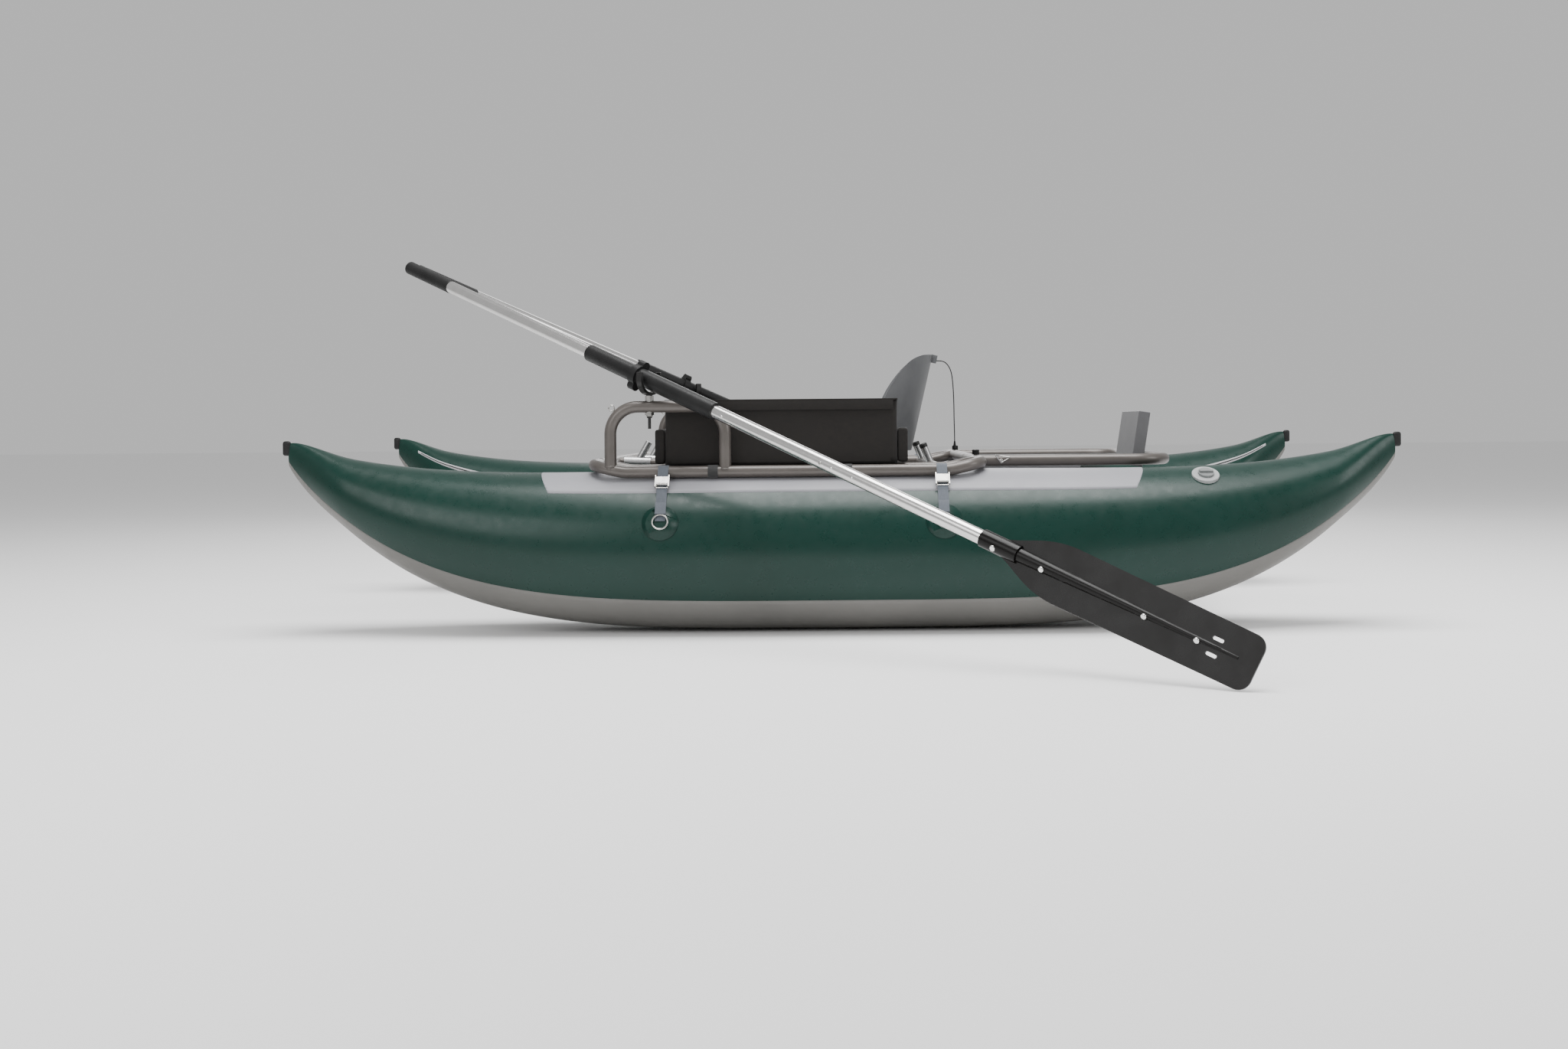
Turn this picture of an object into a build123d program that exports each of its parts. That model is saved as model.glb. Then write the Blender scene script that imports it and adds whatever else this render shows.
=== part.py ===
"""One-person inflatable pontoon boat. Millimetres, bow towards -X, port side -Y, +Z up, floor at Z = 0."""
import os
from math import acos, asin, cos, degrees, pi, radians, sin, sqrt, tan

from build123d import *

# Pontoons
pontoon_length = 2712
pontoon_diameter = 388
pontoon_spacing = 1016
tip_diameter = 24
tip_rise = 240
rise_power = 4.5
taper_power = 3.5
taper_roundness = 0.85
cover_wall = 1.2
bladder_gap = 0.5
bladder_wall = 0.8
stations = 12

# Cloth pieces glued or sewn on the covers
glue_gap = 0.2
patch_thickness = 0.8
top_patch_half_length = 735
top_patch_half_angle = 42
wear_strip_half_angle = 55
zipper_half_length = 1290
zipper_inner_angle = 49
zipper_outer_angle = 57

# Frame tubes
tube_radius = 14.3
tube_wall = 2
weld_gap = 0.05
rail_offset = 82
rail_front_x = -603
rail_rear_x = 338
rail_slope_length = 76
rail_corner_bend = 60
rail_slope_bend = 100
rest_gap = 0.3

# Oar stands
stand_front_x = -556.5
stand_rear_x = -281
stand_height = 545
stand_bend = 66
eye_radius = 7
eye_wire = 1.6

# Seat
seat_bar_xs = (-150, 110, 235)
pan_length = 350
pan_width = 340
pan_rear_x = 146
pan_thickness = 30
pan_dish = 14
back_radius = 205
back_half_angle = 66
back_wall = 8
back_height = 236
back_lean = 13
back_foot_half_width = 140
back_foot_x = 200
back_foot_rise = 6
hinge_x = 160
hinge_z = 456
hinge_pin_radius = 4
pin_clearance = 0.05
hinge_ear_radius = 10
hinge_ear_width = 12
hinge_ear_y = 130
ear_lean = 6
ear_rise = 34
ear_room = 6

# Foot rest
foot_rail_y = 150
foot_rail_radius = 11
foot_peg_radius = 9
foot_peg_height = 62
foot_peg_lean = 30
foot_bar_x = -545
foot_sleeve_length = 70
slide_clearance = 0.3

# Rear deck and motor board
deck_half_width = 410
deck_end_x = 823
deck_bend = 85
deck_mesh_thickness = 2.4
motor_board_width = 270
motor_board_thickness = 31
motor_board_height = 148
motor_board_lean = 9
motor_board_drop = 30
knob_radius = 9
knob_height = 13

# Oars
lock_x = -462
lock_z = 608
oar_sweep = 37.5
oar_pitch = 20.05
blade_roll = 19.4
shaft_radius = 15.875
shaft_wall = 1.575
grip_radius = 17.5
grip_end = -958
grip_length = 183
sleeve_radius = 21
sleeve_start = -213
sleeve_end = 224
collar_radius = 27
collar_lobe_radius = 12
collar_lobe_reach = 26
collar_start = -48
collar_thickness = 20
shaft_joint = 630
ferrule_reach = 110
ferrule_gap = 0.1
button_along = 567
button_radius = 3.9
blade_start = 1008
blade_end = 1642
blade_half_width = 61
blade_tip_half_width = 55
blade_corner = 26
blade_shoulder = 165
blade_thickness = 5
socket_radius = 19.5
socket_depth = 80
rib_end_radius = 4
fit_gap = 0.1

# Oarlocks
horn_inner_radius = 29
horn_wall = 6.5
horn_width = 16
horn_arm_height = 20
lock_pin_radius = 6.3
lock_bore_clearance = 0.06
bushing_radius = 8
bushing_flange_radius = 10.5
bushing_rise = 12
bushing_drop = 9
lock_nut_radius = 11
lock_nut_height = 6
pin_tip_radius = 3.8
pin_tip_drop = 26

# Side bags
bag_front_x = -428
bag_rear_x = 135
bag_outer_y = 568
bag_pocket_depth = 26
bag_pocket_top_z = 492
bag_inner_y = 415
bag_top_z = 561
bag_wall = 3
lid_thickness = 3.5
lid_gap = 0.5
lid_skirt = 26

# Straps and buckles
strap_width = 25
strap_thickness = 1.4
strap_front_x = -428.5
strap_rear_x = 239
ring_angle = 67
ring_patch_radius = 43
ring_radius = 18
ring_wire = 2.2
buckle_length = 32
buckle_width = 34
buckle_side = 2.5
buckle_height = 9
lever_length = 20
bag_strap_width = 24
bag_strap_x = (-310, 12)

# Valves
valve_x = 874
valve_angle = 30
valve_radius = 33
valve_height = 6
valve_cap_radius = 19
valve_cap_height = 5

# Cord behind the backrest
cord_diameter = 3
toggle_radius = 5
toggle_length = 24

# Worked out from the sizes above
pontoon_radius = pontoon_diameter / 2
half_length = pontoon_length / 2
pontoon_y = pontoon_spacing / 2
skin_top = glue_gap + patch_thickness
pontoon_axis_z = pontoon_radius + skin_top
rail_reach = pontoon_radius + skin_top + rest_gap + tube_radius
rail_z = pontoon_axis_z + sqrt(rail_reach**2 - rail_offset**2)
crest_z = pontoon_axis_z + rail_reach
outer_rail_y = pontoon_y + rail_offset
lock_y = outer_rail_y
inner_rail_y = pontoon_y - rail_offset
rail_top_z = rail_z + tube_radius
pan_ear_y = hinge_ear_y - hinge_ear_width - 1
pan_ear_room = hinge_ear_width + 2

os.makedirs("parts", exist_ok=True)


def save(piece, name):
    """Label a finished piece and write it."""
    piece.part.label = name
    export_step(piece.part, f"parts/{name}.step")


def save_starboard(piece, name):
    """Write the starboard twin of a port piece."""
    with BuildPart() as twin:
        mirror(piece.part, about=Plane.XZ)
    save(twin, name)


# ---------------------------------------------------------------- pontoons
# The covers are welded from cone-like rings of cloth, straight between stations along the pontoon
end_radius = tip_diameter / 2
ring_shares = [sin(pi / 2 * k / stations) for k in range(stations + 1)]
ring_radii = [
    end_radius + (pontoon_radius - end_radius) * (1 - share**taper_power) ** taper_roundness for share in ring_shares
]
ring_heights = [pontoon_axis_z + tip_rise * share**rise_power for share in ring_shares]


def between_stations(share, values):
    """Value at a share of the half length, straight between the stations on each side."""
    place = min(sum(1 for ring in ring_shares if ring <= share), stations)
    start, end = ring_shares[place - 1], ring_shares[place]
    return values[place - 1] + (values[place] - values[place - 1]) * (share - start) / (end - start)


def pontoon_radius_at(share):
    """Radius at a share of the half length: full amidships, closing to the tip."""
    return between_stations(share, ring_radii)


def pontoon_centre_at(share):
    """Height of the centreline: level amidships, turning up towards the tips."""
    return between_stations(share, ring_heights)


def station_shares(reach=1):
    """Stations along the pontoon, closer together near the tips, up to a share of the half length."""
    half = [share for share in ring_shares[1:] if share < reach - 0.001] + [reach]
    return [-share for share in reversed(half)] + [0] + half


def pontoon_body(offset, end_gap):
    """Solid of the port pontoon's shape, grown by offset and shortened by end_gap at each tip."""
    with BuildPart() as body:
        for share in station_shares():
            centre = (share * (half_length - end_gap), -pontoon_y, pontoon_centre_at(abs(share)))
            with BuildSketch(Plane(origin=centre, x_dir=(0, 1, 0), z_dir=(1, 0, 0))):
                Circle(pontoon_radius_at(abs(share)) + offset)
        loft(ruled=True)
    return body.part


def pontoon_band(band_half_length, first_angle, last_angle):
    """Thin strip on the port cover between two angles, measured from the top towards outboard."""
    with BuildPart() as band:
        for share in station_shares(band_half_length / half_length):
            inner = pontoon_radius_at(abs(share)) + glue_gap
            outer = inner + patch_thickness
            centre = (share * half_length, -pontoon_y, pontoon_centre_at(abs(share)))
            with BuildSketch(Plane(origin=centre, x_dir=(0, -1, 0), z_dir=(-1, 0, 0))):
                with BuildLine():
                    start = 90 - last_angle
                    sweep_angle = last_angle - first_angle
                    far = CenterArc((0, 0), outer, start, sweep_angle)
                    near = CenterArc((0, 0), inner, start, sweep_angle)
                    Line(far @ 0, near @ 0)
                    Line(far @ 1, near @ 1)
                make_face()
        loft(ruled=True)
    return band.part


pontoon_outside = pontoon_body(0, 0)
pontoon_inside = pontoon_body(-cover_wall, cover_wall)

with BuildPart() as port_pontoon_cover:
    add(pontoon_outside)
    add(pontoon_inside, mode=Mode.SUBTRACT)
save(port_pontoon_cover, "port_pontoon_cover")
save_starboard(port_pontoon_cover, "starboard_pontoon_cover")

bladder_offset = cover_wall + bladder_gap
bladder_outside = pontoon_body(-bladder_offset, bladder_offset)
bladder_inside = pontoon_body(-bladder_offset - bladder_wall, bladder_offset + bladder_wall)

with BuildPart() as port_bladder:
    add(bladder_outside)
    add(bladder_inside, mode=Mode.SUBTRACT)
save(port_bladder, "port_bladder")
save_starboard(port_bladder, "starboard_bladder")

with BuildPart() as top_patches:
    add(pontoon_band(top_patch_half_length, -top_patch_half_angle, top_patch_half_angle))
    mirror(about=Plane.XZ)
save(top_patches, "top_patches")

with BuildPart() as wear_strips:
    add(pontoon_band(half_length, 180 - wear_strip_half_angle, 180 + wear_strip_half_angle))
    mirror(about=Plane.XZ)
save(wear_strips, "wear_strips")

with BuildPart() as zippers:
    add(pontoon_band(zipper_half_length, -zipper_outer_angle, -zipper_inner_angle))
    mirror(about=Plane.XZ)
save(zippers, "zippers")

# Folded webbing tabs, one at each tip
tab_height = 27
tab_length = 15
tab_width = 20
tab_overlap = 5
tip_top_z = pontoon_axis_z + tip_rise + tip_diameter / 2
with BuildPart() as tip_tabs:
    for end in (-1, 1):
        tab_x = end * (half_length + tab_length / 2 + glue_gap)
        with BuildSketch(Plane.XY.offset(tip_top_z - tab_overlap)):
            with Locations((tab_x, -pontoon_y)):
                RectangleRounded(tab_length, tab_width, 4)
    extrude(amount=tab_height)
    mirror(about=Plane.XZ)
save(tip_tabs, "tip_tabs")


# ---------------------------------------------------------------- rings and valves on the covers
def cover_plane(x, angle, height):
    """Plane that lies on the port cover at an angle from the top, its normal pointing straight out."""
    share = abs(x) / half_length
    reach = pontoon_radius_at(share) + height
    normal = (0, -sin(radians(angle)), cos(radians(angle)))
    origin = (x, -pontoon_y + normal[1] * reach, pontoon_centre_at(share) + normal[2] * reach)
    return Plane(origin=origin, x_dir=(1, 0, 0), z_dir=normal)


strap_xs = (strap_front_x, strap_rear_x)
patch_skin = pontoon_body(skin_top, 0) - pontoon_body(glue_gap, 0)

with BuildPart() as ring_patches:
    for x in strap_xs:
        with BuildSketch(cover_plane(x, ring_angle, 0)):
            Circle(ring_patch_radius)
        extrude(amount=ring_patch_radius / 2, both=True)
    add(patch_skin, mode=Mode.INTERSECT)
    mirror(about=Plane.XZ)
save(ring_patches, "ring_patches")

ring_height = skin_top + 2 * strap_thickness + ring_wire + rest_gap
with BuildPart() as d_rings:
    for x in strap_xs:
        ring_plane = cover_plane(x, ring_angle, ring_height)
        with BuildSketch(Plane(origin=ring_plane.origin, x_dir=ring_plane.x_dir, z_dir=ring_plane.y_dir)):
            with Locations((ring_radius, 0)):
                Circle(ring_wire)
        revolve(axis=Axis(ring_plane.origin, ring_plane.z_dir), revolution_arc=360)
    mirror(about=Plane.XZ)
save(d_rings, "d_rings")

valve_plane = cover_plane(valve_x, valve_angle, 0)
valve_base = pontoon_body(glue_gap, 0)
with BuildPart() as valve_bodies:
    with BuildSketch(valve_plane.offset(-valve_height)):
        Circle(valve_radius)
    extrude(amount=2 * valve_height)
    add(valve_base, mode=Mode.SUBTRACT)
    fillet(valve_bodies.faces().sort_by(Axis(valve_plane.origin, valve_plane.z_dir))[-1].edges(), 2)
    mirror(about=Plane.XZ)
save(valve_bodies, "valve_bodies")

with BuildPart() as port_valve_cap:
    with BuildSketch(valve_plane.offset(valve_height + rest_gap)):
        Circle(valve_cap_radius)
    extrude(amount=valve_cap_height)
    with BuildSketch(valve_plane.offset(valve_height + rest_gap + valve_cap_height)):
        SlotOverall(2 * valve_cap_radius - 4, 7)
    extrude(amount=valve_cap_height)
save(port_valve_cap, "port_valve_cap")
save_starboard(port_valve_cap, "starboard_valve_cap")


# ---------------------------------------------------------------- frame tubes
def bent_tube(points, bends, outer, inner=0):
    """Round tube along straight runs joined by arcs; solid if inner is 0."""
    with BuildPart() as tube:
        with BuildLine() as path:
            if len(points) > 2:
                FilletPolyline(*points, radius=bends)
            else:
                Line(*points)
        with BuildSketch(Plane(origin=path.line @ 0, z_dir=path.line % 0)):
            Circle(outer)
            if inner:
                Circle(inner, mode=Mode.SUBTRACT)
        sweep()
    return tube.part


def rail_end(x, outer, inner=0):
    """Half of a side rail: out along the outer rail, over the pontoon's crest and back along the inner rail."""
    middle = (rail_front_x + rail_rear_x) / 2
    slope_x = x - rail_slope_length if x > middle else x + rail_slope_length
    points = [
        (middle, -outer_rail_y, rail_z),
        (slope_x, -outer_rail_y, rail_z),
        (x, -outer_rail_y, crest_z),
        (x, -inner_rail_y, crest_z),
        (slope_x, -inner_rail_y, rail_z),
        (middle, -inner_rail_y, rail_z),
    ]
    bends = (rail_slope_bend, rail_corner_bend, rail_corner_bend, rail_slope_bend)
    return bent_tube(points, bends, outer, inner)


tube_bore = tube_radius - tube_wall
weld_radius = tube_radius + weld_gap
rail_envelope = rail_end(rail_front_x, weld_radius) + rail_end(rail_rear_x, weld_radius)
both_rails = rail_envelope + rail_envelope.mirror(Plane.XZ)

with BuildPart() as port_side_rail:
    add(rail_end(rail_front_x, tube_radius, tube_bore))
    add(rail_end(rail_rear_x, tube_radius, tube_bore))
save(port_side_rail, "port_side_rail")
save_starboard(port_side_rail, "starboard_side_rail")


def crossbar(x, z, radius=tube_radius, bore=tube_bore):
    """Tube from side rail to side rail, its ends cut to sit against them."""
    ends = [(x, -inner_rail_y, z), (x, inner_rail_y, z)]
    return bent_tube(ends, 0, radius, bore) - both_rails


with BuildPart() as front_crossbar:
    add(crossbar(rail_front_x, crest_z))
save(front_crossbar, "front_crossbar")

with BuildPart() as rear_crossbar:
    add(crossbar(rail_rear_x, crest_z))
save(rear_crossbar, "rear_crossbar")

with BuildPart() as seat_bars:
    for bar_x in seat_bar_xs:
        add(crossbar(bar_x, rail_z))
save(seat_bars, "seat_bars")

# Oar stands, upside-down U tubes welded to the outer rails and bored for the oarlock bushings
rail_slope_x = rail_front_x + rail_slope_length
stand_front_foot_z = rail_z + (rail_slope_x - stand_front_x) * (crest_z - rail_z) / rail_slope_length
stand_points = [
    (stand_front_x, -outer_rail_y, stand_front_foot_z),
    (stand_front_x, -outer_rail_y, stand_height),
    (stand_rear_x, -outer_rail_y, stand_height),
    (stand_rear_x, -outer_rail_y, rail_z),
]
with BuildPart() as port_oar_stand:
    add(bent_tube(stand_points, stand_bend, tube_radius, tube_bore))
    add(both_rails, mode=Mode.SUBTRACT)
    with BuildSketch(Plane.XY.offset(stand_height)):
        with Locations((lock_x, -outer_rail_y)):
            Circle(bushing_radius + fit_gap)
    extrude(amount=2 * tube_radius, both=True, mode=Mode.SUBTRACT)
save(port_oar_stand, "port_oar_stand")
save_starboard(port_oar_stand, "starboard_oar_stand")

# Small wire eyes on the front bend of each stand, and triangular rings on the deck tubes
bend_centre = (stand_front_x + stand_bend, stand_height - stand_bend)
eye_reach = stand_bend + tube_radius + eye_radius + eye_wire + weld_gap
eye_angle = radians(135)
eye_x = bend_centre[0] + eye_reach * cos(eye_angle)
eye_z = bend_centre[1] + eye_reach * sin(eye_angle)
with BuildPart() as eye_rings:
    with BuildSketch(Plane.XY.offset(eye_z)):
        with Locations((eye_x + eye_radius, -outer_rail_y)):
            Circle(eye_wire)
    revolve(axis=Axis((eye_x, -outer_rail_y, eye_z), (0, 1, 0)), revolution_arc=360)
    mirror(about=Plane.XZ)
save(eye_rings, "eye_rings")

# Foot rails run aft from the front crossbar to the front seat bar
front_bar = bent_tube(
    [(rail_front_x, -inner_rail_y, crest_z), (rail_front_x, inner_rail_y, crest_z)], 0, weld_radius
)
seat_bar = bent_tube(
    [(seat_bar_xs[0], -inner_rail_y, rail_z), (seat_bar_xs[0], inner_rail_y, rail_z)], 0, weld_radius
)
with BuildPart() as foot_rails:
    for side in (-1, 1):
        ends = [(rail_front_x, side * foot_rail_y, crest_z), (seat_bar_xs[0], side * foot_rail_y, rail_z)]
        add(bent_tube(ends, 0, foot_rail_radius, foot_rail_radius - tube_wall))
    add(front_bar, mode=Mode.SUBTRACT)
    add(seat_bar, mode=Mode.SUBTRACT)
save(foot_rails, "foot_rails")

# Foot bar: two sleeves that slide on the foot rails, each with a leaning peg, joined by a cross tube
foot_slope = (crest_z - rail_z) / (seat_bar_xs[0] - rail_front_x)
foot_direction = Vector(1, 0, -foot_slope).normalized()
foot_bar_z = crest_z - foot_slope * (foot_bar_x - rail_front_x)
sleeve_outer = foot_rail_radius + slide_clearance + tube_wall + 1
with BuildPart() as foot_bar:
    for side in (-1, 1):
        centre = Vector(foot_bar_x, side * foot_rail_y, foot_bar_z)
        half_sleeve = foot_direction * foot_sleeve_length / 2
        sleeve_ends = [centre - half_sleeve, centre + half_sleeve]
        add(bent_tube(sleeve_ends, 0, sleeve_outer))
        peg_lean = radians(foot_peg_lean)
        peg_top = centre + Vector(sin(peg_lean), 0, cos(peg_lean)) * foot_peg_height
        add(bent_tube([centre, peg_top], 0, foot_peg_radius))
    cross_ends = [(foot_bar_x, -foot_rail_y, foot_bar_z), (foot_bar_x, foot_rail_y, foot_bar_z)]
    add(bent_tube(cross_ends, 0, foot_peg_radius))
    for side in (-1, 1):
        centre = Vector(foot_bar_x, side * foot_rail_y, foot_bar_z)
        bore_ends = [centre - foot_direction * foot_sleeve_length, centre + foot_direction * foot_sleeve_length]
        add(bent_tube(bore_ends, 0, foot_rail_radius + slide_clearance), mode=Mode.SUBTRACT)
save(foot_bar, "foot_bar")

# Rear deck frame: a U of tube welded to the rear crossbar
deck_points = [
    (rail_rear_x, -deck_half_width, crest_z),
    (deck_end_x, -deck_half_width, crest_z),
    (deck_end_x, deck_half_width, crest_z),
    (rail_rear_x, deck_half_width, crest_z),
]
rear_bar = bent_tube([(rail_rear_x, -inner_rail_y, crest_z), (rail_rear_x, inner_rail_y, crest_z)], 0, weld_radius)
with BuildPart() as deck_frame:
    add(bent_tube(deck_points, deck_bend, tube_radius, tube_bore))
    add(rear_bar, mode=Mode.SUBTRACT)
    add(both_rails, mode=Mode.SUBTRACT)
save(deck_frame, "deck_frame")

# Deck mesh laced inside the deck frame
mesh_margin = tube_radius + 1
mesh_length = deck_end_x - rail_rear_x - 2 * mesh_margin
with BuildPart() as deck_mesh:
    with BuildSketch(Plane.XY.offset(crest_z - deck_mesh_thickness / 2)):
        with Locations(((rail_rear_x + deck_end_x) / 2, 0)):
            RectangleRounded(mesh_length, 2 * (deck_half_width - mesh_margin), deck_bend - mesh_margin)
    extrude(amount=deck_mesh_thickness)
    motor_slot_x = deck_end_x - tube_radius - motor_board_thickness
    with BuildSketch(Plane.XY.offset(crest_z - deck_mesh_thickness)):
        with Locations((motor_slot_x, 0)):
            Rectangle(3 * motor_board_thickness, motor_board_width + 20)
    extrude(amount=2 * deck_mesh_thickness, mode=Mode.SUBTRACT)
save(deck_mesh, "deck_mesh")

# Motor board: a leaning plank bolted in front of the deck frame's rear tube
board_lean = radians(motor_board_lean)
board_up = Vector(sin(board_lean), 0, cos(board_lean))
board_front = Vector(-cos(board_lean), 0, sin(board_lean))
board_middle = Vector(deck_end_x, 0, crest_z) + board_front * (weld_radius + motor_board_thickness / 2)
board_base = board_middle - board_up * motor_board_drop
with BuildPart() as motor_board:
    with BuildSketch(Plane(origin=board_base, x_dir=(0, 1, 0), z_dir=board_up)):
        RectangleRounded(motor_board_width, motor_board_thickness, 2)
    extrude(amount=motor_board_height)
    chamfer(motor_board.faces().sort_by(Axis.Z)[-1].edges(), 1.5)
save(motor_board, "motor_board")

# Black clamp knobs where the deck frame meets the rear crossbar
with BuildPart() as clamp_knobs:
    for side in (-1, 1):
        with BuildSketch(Plane.XY.offset(crest_z + weld_radius)):
            with Locations((rail_rear_x, side * (deck_half_width - 3 * knob_radius))):
                Circle(knob_radius)
        extrude(amount=knob_height)
    fillet(clamp_knobs.faces().group_by(Axis.Z)[-1].edges(), 2)
save(clamp_knobs, "clamp_knobs")

# Backrest posts: short capped tubes leaning forward from the rear seat bar
post_radius = 10
post_top = Vector(-22, 0, 55)
post_y = pan_width / 2 + 45
rear_seat_bar = bent_tube(
    [(seat_bar_xs[-1], -inner_rail_y, rail_z), (seat_bar_xs[-1], inner_rail_y, rail_z)], 0, weld_radius
)
with BuildPart() as backrest_posts:
    for side in (-1, 1):
        foot = Vector(seat_bar_xs[-1], side * post_y, rail_z)
        add(bent_tube([foot, foot + post_top], 0, post_radius, post_radius - tube_wall))
    add(rear_seat_bar, mode=Mode.SUBTRACT)
save(backrest_posts, "backrest_posts")


# ---------------------------------------------------------------- seat
with BuildPart() as seat_pan:
    pan_bottom = rail_top_z + fit_gap
    pan_middle_x = pan_rear_x - pan_length / 2
    with BuildSketch(Plane.XY.offset(pan_bottom)):
        with Locations((pan_middle_x, 0)):
            RectangleRounded(pan_length, pan_width, 40)
    extrude(amount=pan_thickness)
    dish_radius = ((pan_width / 2 - 20) ** 2 + pan_dish**2) / (2 * pan_dish)
    with BuildSketch(Plane.YZ.offset(pan_middle_x - pan_length)):
        with Locations((0, pan_bottom + pan_thickness - pan_dish + dish_radius)):
            Circle(dish_radius)
    extrude(amount=2 * pan_length, mode=Mode.SUBTRACT)
    for side in (-1, 1):
        with BuildSketch(Plane.XZ.offset(-side * pan_ear_y - hinge_ear_width / 2)):
            with BuildLine():
                Polyline(
                    (pan_rear_x - 30, pan_bottom + 2),
                    (pan_rear_x, pan_bottom + 2),
                    (hinge_x + 8, hinge_z),
                    (hinge_x - 8, hinge_z + 3),
                    (pan_rear_x - 30, pan_bottom + 2),
                )
            make_face()
            with Locations((hinge_x, hinge_z)):
                Circle(hinge_ear_radius)
        extrude(amount=hinge_ear_width)
    with BuildSketch(Plane.XZ):
        with Locations((hinge_x, hinge_z)):
            Circle(hinge_pin_radius + pin_clearance)
    extrude(amount=pan_width, both=True, mode=Mode.SUBTRACT)
save(seat_pan, "seat_pan")

lean = radians(back_lean)
back_up = Vector(sin(lean), 0, cos(lean))
back_foot = Vector(back_foot_x, 0, hinge_z + back_foot_rise)
back_plane = Plane(origin=back_foot, x_dir=(0, 1, 0), z_dir=back_up)
back_top = back_foot + back_up * back_height
clip_height = 22
clip_depth = 16
wing_foot_x = hinge_x - 72
wing_sweep = [(hinge_x - 46, hinge_z + 112), (hinge_x + 4, hinge_z + 190)]
wing_low_z = hinge_z + 110
wing_high_z = back_top.Z - 70
back_skirt = 40
skirt_z = hinge_z - 30
skirt_half_width = 92
with BuildPart() as seat_back:
    with BuildSketch(back_plane.offset(-back_skirt)):
        with BuildLine():
            outer = CenterArc((0, back_radius), back_radius, -90 - back_half_angle, 2 * back_half_angle)
            inner = CenterArc((0, back_radius), back_radius - back_wall, -90 - back_half_angle, 2 * back_half_angle)
            Line(outer @ 0, inner @ 0)
            Line(outer @ 1, inner @ 1)
        make_face()
    extrude(amount=back_height + back_skirt)
    # Side outline: the wings sweep back towards the top
    with BuildSketch(Plane.XZ):
        with BuildLine():
            front = Spline(
                (wing_foot_x, hinge_z - 10),
                *wing_sweep,
                (back_top.X - 30, back_top.Z - 8),
                tangents=[(0.1, 1), (1, 0.25)],
            )
            Polyline(
                front @ 1,
                (back_top.X + back_skirt, back_top.Z),
                (back_top.X + back_skirt, skirt_z - 5),
                (wing_foot_x, skirt_z - 5),
                front @ 0,
            )
        make_face()
    extrude(amount=pan_width, both=True, mode=Mode.INTERSECT)
    # Front outline: narrow between the hinges, rounded at the top corners
    wing_width = back_radius + 5
    with BuildSketch(Plane.YZ):
        with BuildLine():
            outline = Polyline(
                (0, skirt_z),
                (skirt_half_width, skirt_z),
                (skirt_half_width + 8, hinge_z + 2),
                (back_foot_half_width, hinge_z + 2),
                (wing_width, wing_low_z),
                (wing_width, wing_high_z),
                (back_foot_half_width, back_top.Z),
                (0, back_top.Z),
            )
            Line(outline @ 1, outline @ 0)
        make_face()
        mirror(about=Plane.YZ)
    extrude(amount=2 * back_foot_x, mode=Mode.INTERSECT)
    for side in (-1, 1):
        with BuildSketch(Plane.XZ.offset(-side * hinge_ear_y - hinge_ear_width / 2)):
            with Locations((hinge_x, hinge_z)):
                Circle(hinge_ear_radius)
            with BuildLine():
                Polyline(
                    (hinge_x - hinge_ear_radius, hinge_z),
                    (hinge_x + hinge_ear_radius, hinge_z),
                    (hinge_x + hinge_ear_radius + ear_lean, hinge_z + ear_rise),
                    (hinge_x - hinge_ear_radius + ear_lean, hinge_z + ear_rise),
                    (hinge_x - hinge_ear_radius, hinge_z),
                )
            make_face()
        extrude(amount=hinge_ear_width)
        # Room for the pan's ear beside it
        with BuildSketch(Plane.XZ.offset(-side * pan_ear_y - pan_ear_room / 2)):
            with Locations((hinge_x, hinge_z)):
                Circle(hinge_ear_radius + ear_room)
        extrude(amount=pan_ear_room, mode=Mode.SUBTRACT)
    with BuildSketch(Plane.XZ):
        with Locations((hinge_x, hinge_z)):
            Circle(hinge_pin_radius + pin_clearance)
    extrude(amount=pan_width, both=True, mode=Mode.SUBTRACT)
    # Clip for the cord, at the top of the rear face
    with BuildSketch(Plane(origin=back_top - back_up * (clip_height + 4), x_dir=(0, 1, 0), z_dir=back_up)):
        with Locations((0, -clip_depth / 2 + 2)):
            RectangleRounded(clip_height, clip_depth, 2)
    extrude(amount=clip_height)
save(seat_back, "seat_back")

with BuildPart() as seat_hinge_pin:
    with BuildSketch(Plane.XZ):
        with Locations((hinge_x, hinge_z)):
            Circle(hinge_pin_radius)
    extrude(amount=hinge_ear_y + hinge_ear_width / 2 + 3, both=True)
save(seat_hinge_pin, "seat_hinge_pin")


# ---------------------------------------------------------------- cord behind the backrest
def cord_bends(points):
    """Arc radius at each inner point: 0.45 of the shorter run over the tangent of half the turn."""
    radii = []
    for before, here, after in zip(points, points[1:], points[2:]):
        first = Vector(*here) - Vector(*before)
        second = Vector(*after) - Vector(*here)
        half_turn = radians(first.get_angle(second)) / 2
        radii.append(0.45 * min(first.length, second.length) / tan(half_turn))
    return radii


cord_points = [
    (262, 0, 671),
    (279, 0, 672),
    (294, 0, 661),
    (304, 0, 640),
    (308, 0, 604),
    (310, 0, 556),
    (310, 1, 508),
    (311, 0, 470),
    (311, 0, 450),
]
cord_radii = cord_bends(cord_points)
print("cord bend radii:", [round(r, 1) for r in cord_radii])
with BuildPart() as backrest_cord:
    add(bent_tube(cord_points, cord_radii, cord_diameter / 2))
    add(seat_back.part, mode=Mode.SUBTRACT)
save(backrest_cord, "backrest_cord")

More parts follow.
